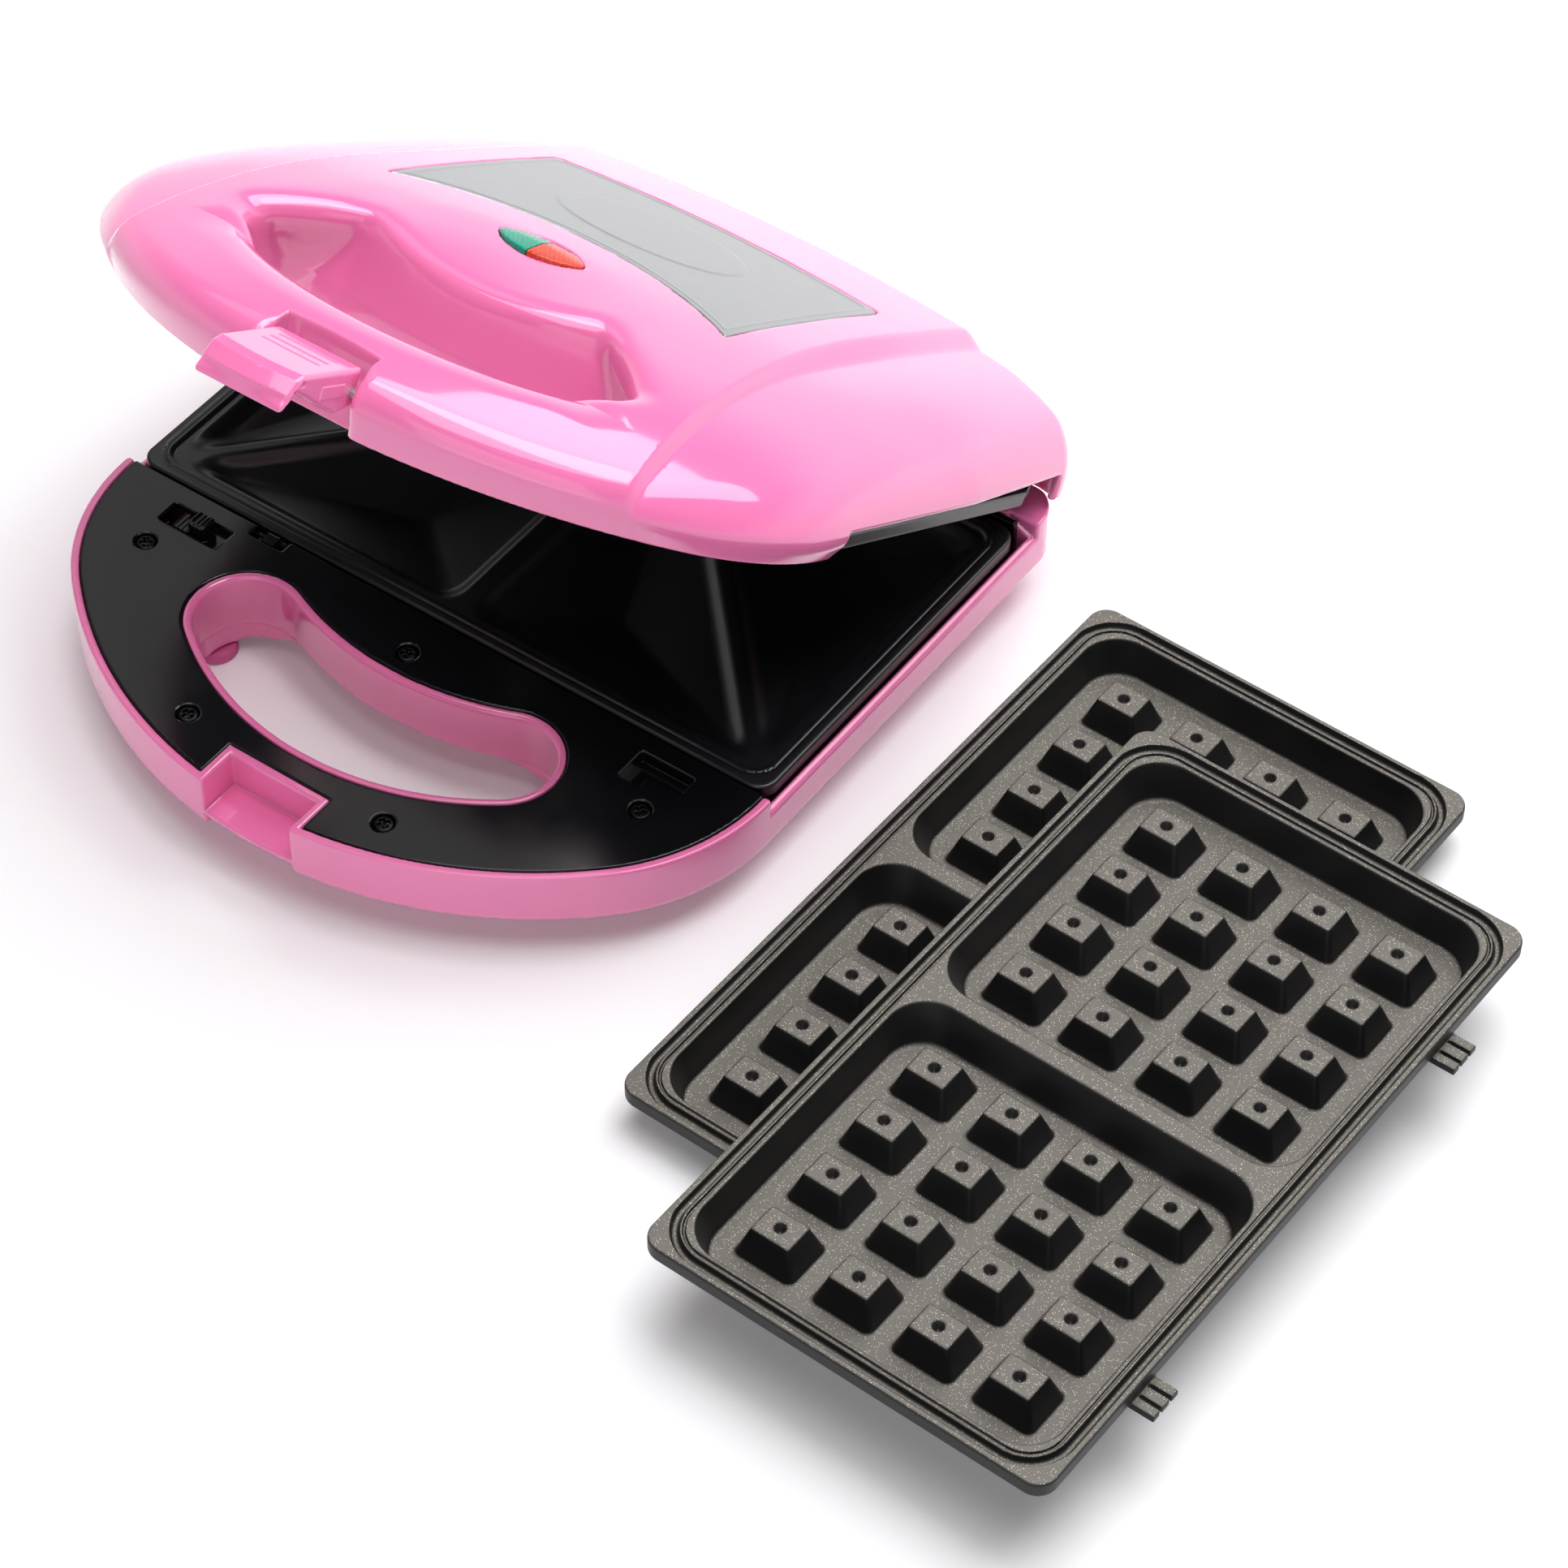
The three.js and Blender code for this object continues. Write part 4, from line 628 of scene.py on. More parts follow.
@dataclass(frozen=True)
class BrushedAluminium(Finish):
    """Aluminium sheet brushed along its length: fine parallel scratches that draw reflections out."""

    scratch: float = 0.16
    run: float = 45.0
    groove_tint: str = "#a9aaab"
    depth: float = 0.006

    def texture(self, tree: Tree, shader: Any, coords: Socket) -> None:
        """Long fine scratches in gloss, relief and tint.

        Args:
            tree: node tree that gets the nodes.
            shader: the shader that is dressed.
            coords: coordinates in metres.
        """
        lines = noise(tree, coords, self.scratch, 2.0, self.run / self.scratch)
        self.stray(tree, shader, lines)
        self.relief(tree, shader, lines, self.depth)
        self.paint(tree, shader, lines, linear(self.groove_tint), linear(self.tint))


@dataclass(frozen=True)
class PrismaticAcrylic(Finish):
    """Clear tinted acrylic with moulded diamond prisms under a smooth face."""

    pitch: float = 1.3
    turn: float = 35.0
    depth: float = 0.08

    def texture(self, tree: Tree, shader: Any, coords: Socket) -> None:
        """Two families of fine grooves that cross to make diamonds, and a painted glint: a lighter tint on
        their crests.

        Args:
            tree: node tree that gets the nodes.
            shader: the shader that is dressed.
            coords: coordinates in metres.
        """
        waves = []
        for turn in (math.radians(-self.turn), math.radians(self.turn)):
            across = [math.cos(turn) / (MM * self.pitch), math.sin(turn) / (MM * self.pitch), 0]
            along = add(tree, "ShaderNodeVectorMath", {0: coords, 1: across}, operation="DOT_PRODUCT")
            waves.append(operate(tree, "PINGPONG", along.outputs["Value"], 0.5))
        crests = operate(tree, "MULTIPLY", operate(tree, "MULTIPLY", *waves), 4.0)
        # Painted glint: the crests are coloured lighter than the tint.
        self.paint(tree, shader, crests, linear(self.tint), linear(self.tint, 1.2, 0.02))
        self.relief(tree, shader, crests, self.depth)


@dataclass(frozen=True)
class GrainedFinish(Finish):
    """Plain sheet, ceramic, rubber or glass with the grain that its making leaves."""

    grain: float = 0.8
    depth: float = 0.01
    mottle: float = 0.9

    def texture(self, tree: Tree, shader: Any, coords: Socket) -> None:
        """Grain in gloss and relief, with a little mottling of the colour.

        Args:
            tree: node tree that gets the nodes.
            shader: the shader that is dressed.
            coords: coordinates in metres.
        """
        grain = noise(tree, coords, self.grain, 3.0)
        self.stray(tree, shader, grain)
        self.relief(tree, shader, grain, self.depth)
        blobs = noise(tree, coords, 6 * self.grain, 2.0)
        self.paint(tree, shader, blobs, linear(self.tint, self.mottle), linear(self.tint))


class Surface(Enum):
    """The finishes of this appliance, with the record's slot that each one stands for."""

    SHELL = ("pink_plastic", GlossMouldedAbs("gloss_moulded_pink_abs", "#f27bb3", 0.12, ior=1.53, coat=0.8))
    TRIM = ("black_plastic", SatinMouldedAbs(
        "satin_moulded_black_abs", "#0c0c0f", 0.16, ior=1.53, spread=0.05))
    SANDWICH = ("black_coating", NonStickCoating("baked_black_non_stick_coating", "#121216", 0.33, ior=1.6))
    WAFFLE = ("bronze_coating", FlakedNonStickCoating(
        "flaked_bronze_non_stick_coating", "#6e6962", 0.46, ior=1.4))
    BADGE = ("badge_metal", BrushedAluminium("brushed_aluminium", "#d2d3d5", 0.4, 1.0, spread=0.05))
    GREEN = ("green_lens", PrismaticAcrylic("prismatic_green_acrylic", "#068f74", 0.14, ior=1.49))
    RED = ("red_lens", PrismaticAcrylic("prismatic_orange_acrylic", "#cb3f28", 0.14, ior=1.49))
    SCREW = ("screw_steel", GrainedFinish("blackened_screw_steel", "#2a2a2d", 0.34, 1.0, grain=0.5))
    SHEET = ("plain_steel", GrainedFinish("rolled_plain_steel", "#b6b8ba", 0.36, 1.0, grain=1.5))
    HEATER = ("heater_steel", GrainedFinish("oxidised_heater_sheath_steel", "#6b655e", 0.52, 0.9, grain=0.9))
    CERAMIC = ("ceramic", GrainedFinish("fired_steatite_ceramic", "#e6e1d6", 0.55, ior=1.6, grain=1.2))
    RUBBER = ("rubber", GrainedFinish(
        "moulded_pink_rubber", "#d9659f", 0.6, ior=1.52, grain=0.6, depth=0.03))
    GLASS = ("lamp_glass", GrainedFinish(
        "drawn_lamp_glass", "#f0d6ca", 0.12, ior=1.52, grain=3.0, mottle=0.97))

    @property
    def slot(self) -> str:
        """Name of the record's material slot."""
        return self.value[0]

    @property
    def finish(self) -> Finish:
        """The finish itself."""
        return self.value[1]


# Places

@dataclass(frozen=True)
class Site:
    """Where the appliance's own axes lie in the frame, and how its lid stands open.

    Args:
        hinge_y: the hinge axis behind the fitted plate's front edge.
        hinge_z: the hinge axis above the table.
        opened: how far the lid stands open, in degrees.
        rear: the base's rear edge behind the fitted plate's front edge.
    """

    hinge_y: float = 142.0
    hinge_z: float = 27.0
    opened: float = 31.6
    rear: float = 148.5

    def base(self) -> Matrix:
        """Places a piece of the base."""
        low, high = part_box("lower_housing")
        return Matrix.Translation(((low.x + high.x) / 2, high.y - self.rear * MM, 0))

    def lid(self) -> Matrix:
        """Places a piece that was made with the lid shut.

        Returns:
            The place.
        """
        axis = Vector((0, self.hinge_y * MM, self.hinge_z * MM))
        swing = Matrix.Rotation(-math.radians(self.opened), 4, "X")
        return self.base() @ Matrix.Translation(axis) @ swing @ Matrix.Translation(-axis)

    def facing(self) -> Matrix:
        """Places a piece of the base's kind face down in the lid."""
        turned = Matrix.Translation((0, 0, 2 * PARTING * MM)) @ Matrix.Rotation(math.pi, 4, "Y")
        return self.lid() @ turned

    def from_hinge(self, y: Array, z: Array) -> Array:
        """Distance to the hinge's axis."""
        return np.hypot(y - self.hinge_y, z - self.hinge_z)


SITE = Site()


def spot(x: float, y: float, z: float, turn: float = 0.0) -> Matrix:
    """Place in millimetres on the appliance's axes, turned about the upright by degrees."""
    return Matrix.Translation((x * MM, y * MM, z * MM)) @ Matrix.Rotation(math.radians(turn), 4, "Z")


def install(name: str, mesh: bpy.types.Mesh, place: Matrix, surface: Surface, body: str,
            *nodes: str) -> bpy.types.Object:
    """Sets a piece in its place, dresses it and ties it to its body.

    Args:
        name: the piece's name.
        mesh: its mesh on the appliance's own axes.
        place: where it stands in the frame.
        surface: its finish.
        body: the body that it moves with.
        nodes: the frame's nodes that it stands for.

    Returns:
        The new object.
    """
    placed = mesh.copy()
    placed.name = name
    placed.transform(place)
    placed.materials.append(surface.finish.material())
    piece = put(name, placed)
    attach(piece, body)
    surface.slot
    if nodes:
        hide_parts(*nodes)
    top = max(corner[2] for corner in piece.bound_box) / MM
    faces = len(placed.polygons)
    LOG.info("%s: %d faces, %s, on %s, top %.1f mm", name, faces, surface.finish.name, body, top)
    return piece


# Shared outlines

@dataclass(frozen=True)
class BodyOutline:
    """D-shaped outline of both shells, seen from above."""

    half_width: float = 118.0
    corner_radius: float = 67.0
    corner_y: float = -2.0
    bow: float = 20.77
    rear_radius: float = 12.0

    def distance(self, x: Array, y: Array, rear: float) -> Array:
        """Distance to the outline whose rear edge is at rear.

        Args:
            x: places across, in millimetres.
            y: places from front to back.
            rear: where the outline ends at the back.

        Returns:
            Distance at each place.
        """
        across = np.abs(x)
        corner_x = self.half_width - self.corner_radius
        reach = (corner_x ** 2 + self.bow ** 2) / (2 * self.bow)
        centre = self.corner_y - self.bow + reach
        front = np.hypot(across, y - centre) - reach - self.corner_radius
        corner = np.hypot(across - corner_x, y - self.corner_y) - self.corner_radius
        turning = corner_x * (y - centre) + (centre - self.corner_y) * across
        ahead = np.where(turning < 0, front, corner)
        behind = rounded(across - (self.half_width - self.rear_radius), y - (rear - self.rear_radius),
                         self.rear_radius)
        return np.where(y < self.corner_y, ahead, behind)


@dataclass(frozen=True)
class GripOutline:
    """Bean-shaped hand hole: round ends joined by a front and a rear arc."""

    cap_x: float = 47.0
    cap_y: float = -32.0
    cap_radius: float = 15.5
    front_centre: float = 30.0
    rear_centre: float = 76.2

    def distance(self, x: Array, y: Array) -> Array:
        """Distance to the hole's edge, negative in the hole.

        Args:
            x: places across, in millimetres.
            y: places from front to back.

        Returns:
            Distance at each place.
        """
        across = np.abs(x)
        cap = np.hypot(across - self.cap_x, y - self.cap_y) - self.cap_radius
        front_rise = self.cap_y - self.front_centre
        front_reach = math.hypot(self.cap_x, front_rise) + self.cap_radius
        front = np.hypot(across, y - self.front_centre) - front_reach
        rear_rise = self.cap_y - self.rear_centre
        rear_reach = math.hypot(self.cap_x, rear_rise) - self.cap_radius
        rear = rear_reach - np.hypot(across, y - self.rear_centre)
        before_cap = front_rise * across - self.cap_x * (y - self.front_centre) < 0
        behind_cap = rear_rise * across - self.cap_x * (y - self.rear_centre) < 0
        return np.where(before_cap & behind_cap, cap, np.maximum(front, rear))


@dataclass(frozen=True)
class Notch:
    """Gap at the middle of the front, where the latch comes down."""

    half_width: float = 15.6
    back: float = -75.8
    floor_top: float = 18.0
    floor_bottom: float = 16.0
    wall: float = 2.6

    def distance(self, x: Array, y: Array) -> Array:
        """Distance to the gap, negative in it."""
        return np.maximum(np.abs(x) - self.half_width, y - self.back)


BODY = BodyOutline()
GRIP = GripOutline()
NOTCH = Notch()


# Parts of one half

@dataclass
class TrimPanel:
    """Black panel that covers the front of a half and frames its plate."""

    top: float = 30.4
    thickness: float = 2.4
    edge: float = 2.9
    plate_gap: float = 0.9
    grip_gap: float = 2.8
    slider_slot: tuple = (-93.5, -71.7, -16.0, -7.6)
    clip_slot: tuple = (-67.8, -55.5, -5.3, 4.0)
    pocket: tuple = ((77.4, 84.6, -18.5, -7.0), (77.4, 96.0, -14.3, -7.0))
    pocket_depth: float = 4.2
    pocket_wall: float = 1.0
    cup: Pair = (5.4, 0.3)
    frame_half: float = 112.0
    frame_front: float = 1.5
    frame_rear: float = 132.3
    frame_wall: float = 2.0
    frame_bottom: float = 17.7
    frame_top: float = 25.2
    web_y: Pair = (-2.0, 3.5)
    riser_y: Pair = (-2.3, -0.9)
    web_bottom: float = 23.2
    riser_top: float = 28.3
    pad_radius: float = 5.2
    seat_radius: float = 3.45
    seat_depth: float = 2.1
    screws: tuple = ((-90.3, -25.3), (-35.5, -71.0), (0.0, -15.8), (35.5, -71.0), (90.3, -25.3))

    def sheet(self, x: Array, y: Array, z: Array) -> Array:
        """Distance to the flat sheet with its slots, its cup and its screw seats.

        Args:
            x: places across, in millimetres.
            y: places from front to back.
            z: heights.

        Returns:
            Distance at each place.
        """
        sheet = soft_max(BODY.distance(x, y, SITE.rear) + self.edge, y + self.plate_gap, 0.8)
        sheet = soft_max(sheet, self.grip_gap - GRIP.distance(x, y), 0.6)
        sheet = soft_max(sheet, NOTCH.wall - NOTCH.distance(x, y), 0.8)
        slot, clip = rectangle(x, y, self.slider_slot, 0.8), rectangle(x, y, self.clip_slot, 0.6)
        sheet = most(sheet, -slot, -clip)
        corner = least(*(rectangle(x, y, sides, 0.8) for sides in self.pocket))
        pocket = most(corner, self.top - self.pocket_depth - z)
        cup = most(corner - self.pocket_wall, slab(z, self.top - self.cup[0], self.top - self.cup[1]))
        bottom = self.top - self.thickness
        body = carve(least(soft_max(sheet, slab(z, bottom, self.top), 0.5), cup), (pocket, 0.4))
        for sx, sy in self.screws:
            seat = np.hypot(x - sx, y - sy)
            body = least(body, most(seat - self.pad_radius, slab(z, bottom - 2, bottom + 0.5)))
            body = carve(body, (most(seat - self.seat_radius, self.top - self.seat_depth - z), 0.4))
        return body

    def form(self, x: Array, y: Array, z: Array) -> Array:
        """Distance to the panel.

        Args:
            x: places across, in millimetres.
            y: places from front to back.
            z: heights.

        Returns:
            Distance at each place.
        """
        half, front, rear, wall = self.frame_half, self.frame_front, self.frame_rear, self.frame_wall
        outer = rectangle(x, y, (-half, half, front, rear), 4.0)
        inner = rectangle(x, y, (-half + wall, half - wall, front + wall, rear - 2 * wall), 3.0)
        ring = most(outer, -inner, slab(z, self.frame_bottom, self.frame_top))
        wide = (-half, half)
        back = block(x, y, z, wide, (rear - wall, rear), (self.frame_bottom, self.top))
        web = block(x, y, z, wide, self.web_y, (self.web_bottom, self.frame_top))
        riser = block(x, y, z, wide, self.riser_y, (self.web_bottom, self.riser_top))
        skirt = most(least(web, riser), BODY.distance(x, y, SITE.rear) + self.edge)
        return least(self.sheet(x, y, z), ring, back, skirt)

    def mesh(self) -> bpy.types.Mesh:
        """The panel as a mesh."""
        return Casting(self.form, (-117, -88, 17), (117, 134, 31), 0.62, 90_000).mesh("trim_panel")


@dataclass
class CastPlate:
    """What all plates share: their outline, and the rear tabs and front clips that hold them."""

    half: float = 115.0
    width: float = 128.3
    corner: float = 6.0
    flange: float = 5.3
    inset: float = 7.0
    tab_x: float = 71.0
    tab_half: float = 5.5
    tab_reach: float = 3.6
    tab_drop: float = 2.3
    tab_slots: Pair | None = None
    clips: Pair = (58.2, 63.2)
    clip_reach: float = 0.9
    rounds: Pair = (0.8, 0.6)

    def outline(self, x: Array, y: Array, front: float, inset: float, radius: float) -> Array:
        """Distance to the plate's outline drawn in by inset, its front edge at front."""
        end, rear = self.half - inset, front + self.width - inset
        return rectangle(x, y, (-end, end, front + inset, rear), radius)

    def holds(self, x: Array, y: Array, z: Array, front: float, level: float) -> Array:
        """Distance to the tabs and clips of a plate whose flange stands on level.

        Args:
            x: places across, in millimetres.
            y: places from front to back.
            z: heights.
            front: the plate's front edge.
            level: height that the flange stands on.

        Returns:
            Distance at each place.
        """
        across, rear = np.abs(x), front + self.width
        tab = most(slab(across, self.tab_x - self.tab_half, self.tab_x + self.tab_half),
                   slab(y, rear - self.inset, rear + self.tab_reach))
        if self.tab_slots:
            slots = slab(np.abs(across - self.tab_x), *self.tab_slots)
            tab = most(tab, -most(slots, rear + 0.3 - y))
        tab = soft_max(tab, slab(z, level - self.tab_drop, level + 0.3), self.rounds[0])
        clip = most(slab(across, *self.clips), slab(y, front - self.clip_reach, front + self.inset))
        return least(tab, soft_max(clip, slab(z, level, level + 2), self.rounds[1]))


@dataclass
class SandwichPlate(CastPlate):
    """Cast plate with four triangular pockets, each falling to its deepest point along three creases."""

    top: float = 30.8
    depth: float = 14.4
    rim_inset: float = 5.2
    rim_drop: float = 1.4
    edge: float = 8.0
    middle: float = 3.0
    ridge: float = 3.0
    wall_run: float = 3.0
    wall_depth: float = 3.2
    apex_depth: float = 10.2
    apex: Pair = (36.5, 38.4)

    def triangles(self) -> list[tuple]:
        """Deepest point and corners of both pockets of the right-hand square, counterclockwise.

        Returns:
            Each pocket's deepest point and its corners.
        """
        low, high = self.edge, self.width - self.edge
        inner, outer = self.middle, self.half - self.edge
        near, far = self.apex, (inner + outer - self.apex[0], low + high - self.apex[1])
        return [
            (near, [(inner, low), (outer - self.ridge, low), (inner, high - self.ridge)]),
            (far, [(outer, low + self.ridge), (outer, high), (inner + self.ridge, high)]),
        ]

    def sunk(self, x: Array, y: Array) -> Array:
        """How far the pocket floors lie below the rim at each point.

        Args:
            x: places across, in millimetres.
            y: places from front to back.

        Returns:
            Depth at each place.
        """
        across = np.abs(x)
        deepest = np.zeros(np.broadcast(across, y).shape, dtype=np.float32)
        for (apex_x, apex_y), corners in self.triangles():
            walls, falls = [], []
            for i, (x1, y1) in enumerate(corners):
                x0, y0 = corners[i - 1]
                length = math.hypot(x1 - x0, y1 - y0)
                nx, ny = -(y1 - y0) / length, (x1 - x0) / length
                reach = (across - x0) * nx + (y - y0) * ny
                full = (apex_x - x0) * nx + (apex_y - y0) * ny
                walls.append(reach * self.wall_depth / self.wall_run)
                falls.append(self.wall_depth + (reach - self.wall_run) * (
                    (self.apex_depth - self.wall_depth) / (full - self.wall_run)))
            wall = soft_min(soft_min(walls[0], walls[1], 9.0), walls[2], 9.0)
            floor = soft_min(soft_min(falls[0], falls[1], 0.8), falls[2], 0.8)
            deepest = soft_max(deepest, soft_min(wall, floor, 1.4), 1.6)
        return deepest

    def blank(self, x: Array, y: Array, z: Array) -> Array:
        """Flange on an inset pan, with rear tabs and front clips.

        Args:
            x: places across, in millimetres.
            y: places from front to back.
            z: heights.

        Returns:
            Distance at each place.
        """
        flange = self.outline(x, y, 0, 0, self.corner)
        flange = soft_max(flange, slab(z, self.top - self.flange, self.top), 1.2)
        pan = self.outline(x, y, 0, self.inset, self.corner) + np.maximum(22 - z, 0) * 0.15
        pan = soft_max(pan, slab(z, self.top - self.depth, self.top - 2), 2.0)
        return least(soft_min(flange, pan, 1.5), self.holds(x, y, z, 0, self.top - self.flange))

    def form(self, x: Array, y: Array, z: Array) -> Array:
        """Distance to the plate.

        Args:
            x: places across, in millimetres.
            y: places from front to back.
            z: heights.

        Returns:
            Distance at each place.
        """
        well = self.outline(x, y, 0, self.rim_inset, 6.0)
        drop = self.rim_drop * ease(-well / 1.6 + 0.5)
        groove = 0.5 * np.exp(-((well - 1.9) / 0.45) ** 2)
        face = (z - self.top + drop + groove + self.sunk(x, y)) * 0.85
        return soft_max(self.blank(x, y, z), face, 0.9)

    def mesh(self) -> bpy.types.Mesh:
        """The plate as a mesh."""
        return Casting(self.form, (-116, -1, 16), (116, 132.5, 31.5), 0.68, 110_000).mesh("sandwich_plate")


@dataclass
class PanelScrew:
    """Pan-head screw with a cross recess."""

    head_radius: float = 3.1
    head_height: float = 1.9
    dome: float = 0.35
    shank_radius: float = 1.4
    shank: float = 9.0
    arm: float = 1.9
    recess: float = 1.2

    def form(self, x: Array, y: Array, z: Array) -> Array:
        """Distance to the screw, its head's top at z = 0.

        Args:
            x: places across, in millimetres.
            y: places from front to back.
            z: heights.

        Returns:
            Distance at each place.
        """
        radius = np.hypot(x, y)
        dome = z + self.dome * (radius / self.head_radius) ** 2
        head = soft_max(most(radius - self.head_radius, -self.head_height - z), dome, 0.8)
        shank = most(radius - self.shank_radius, slab(z, -self.head_height - self.shank, -1))
        taper = 0.45 + 0.35 * (z + self.recess)
        u, v = np.abs(x), np.abs(y)
        arms = least(most(u - taper, v - self.arm), most(v - taper, u - self.arm))
        return carve(least(head, shank), (most(arms, -self.recess - z), 0.2))

    def mesh(self) -> bpy.types.Mesh:
        """The screw as a mesh."""
        return Casting(self.form, (-3.3, -3.3, -11), (3.3, 3.3, 0.2), 0.2, 5_000).mesh("panel_screw")


@dataclass
class ReleaseSlider:
    """Slider with a raised ribbed knob and a flat ribbed shoe in the panel's slot."""

    knob_x: float = -81.0
    width: float = 6.6
    knob_front: float = -14.0
    front: float = -15.5
    back: float = -8.1
    end: float = -89.1
    top: float = 33.8
    dip: float = 0.7
    shoe_top: float = 29.6
    bar_top: float = 27.7
    bar_bottom: float = 25.5
    arm_left: float = -67.0
    arm_right: float = -59.0
    arm_back: float = -1.5
    post_left: float = -63.4
    post_front: float = -5.0
    post_top: float = 30.5
    pitch: float = 1.55
    rib: float = 0.32

    def form(self, x: Array, y: Array, z: Array) -> Array:
        """Distance to the slider.

        Args:
            x: places across, in millimetres.
            y: places from front to back.
            z: heights.

        Returns:
            Distance at each place.
        """
        left, right = self.knob_x - self.width / 2, self.knob_x + self.width / 2
        dip = self.dip * ease(1 - np.abs(x - self.knob_x) / 5)
        knob = soft_max(rectangle(x, y, (left, right, self.knob_front, self.back), 1.2),
                        most(z - self.top + dip, self.bar_bottom - z), 1.2)
        shoe = most(rectangle(x, y, (self.end, left + 1, self.front + 0.4, self.back - 0.4), 0.8),
                    slab(z, self.bar_bottom, self.shoe_top))
        ribs = self.rib * np.cos(2 * math.pi * x / self.pitch)
        shoe = shoe + 0.5 * np.maximum(ribs, 0) * (z > 29)
        knob = knob + np.maximum(1.3 * ribs, 0) * ease((z - self.top + 1.6) / 0.8)
        flat = (self.bar_bottom, self.bar_top)
        bar = block(x, y, z, (self.end, self.arm_right), (self.front, self.back), flat)
        arm = block(x, y, z, (self.arm_left, self.arm_right), (self.front, self.arm_back), flat)
        post = block(x, y, z, (self.post_left, self.arm_right), (self.post_front, self.arm_back),
                     (self.bar_bottom, self.post_top))
        return soft_min(soft_min(knob, shoe, 0.4), soft_min(least(bar, arm), post, 0.6), 0.4)

    def mesh(self) -> bpy.types.Mesh:
        """The slider as a mesh."""
        return Casting(self.form, (-94, -16, 25), (-58, -1, 34.2), 0.3, 16_000).mesh("release_slider")


@dataclass
class Half:
    """Everything that base and lid have in common, made once and set in both."""

    panel: TrimPanel = field(default_factory=TrimPanel)
    plate: SandwichPlate = field(default_factory=SandwichPlate)
    screw: PanelScrew = field(default_factory=PanelScrew)
    slider: ReleaseSlider = field(default_factory=ReleaseSlider)
    screw_top: float = 30.25
    screw_turn: float = 37.0

    def build(self) -> None:
        """Builds both panels, plates, sliders and screw sets."""
        panel, plate = self.panel.mesh(), self.plate.mesh()
        screw, slider = self.screw.mesh(), self.slider.mesh()
        for side, place, shell in (("lower", SITE.base(), "base"), ("upper", SITE.facing(), "lid")):
            for name, mesh, surface, body, node in (
                ("panel_face", panel, Surface.TRIM, shell, "trim_panel"),
                ("plate_cast", plate, Surface.SANDWICH, f"{side}_plate", "sandwich_plate"),
                ("slider_knob", slider, Surface.TRIM, f"{side}_slider", "release_slider"),
            ):
                install(f"{side}_{name}", mesh, place, surface, body, f"{side}_{node}")
            for number, (x, y) in enumerate(self.panel.screws, 1):
                seat = place @ spot(x, y, self.screw_top, self.screw_turn * number)
                install(f"{side}_cross_screw_{number}", screw, seat, Surface.SCREW, shell,
                        f"{side}_screw_{number}")


# Base

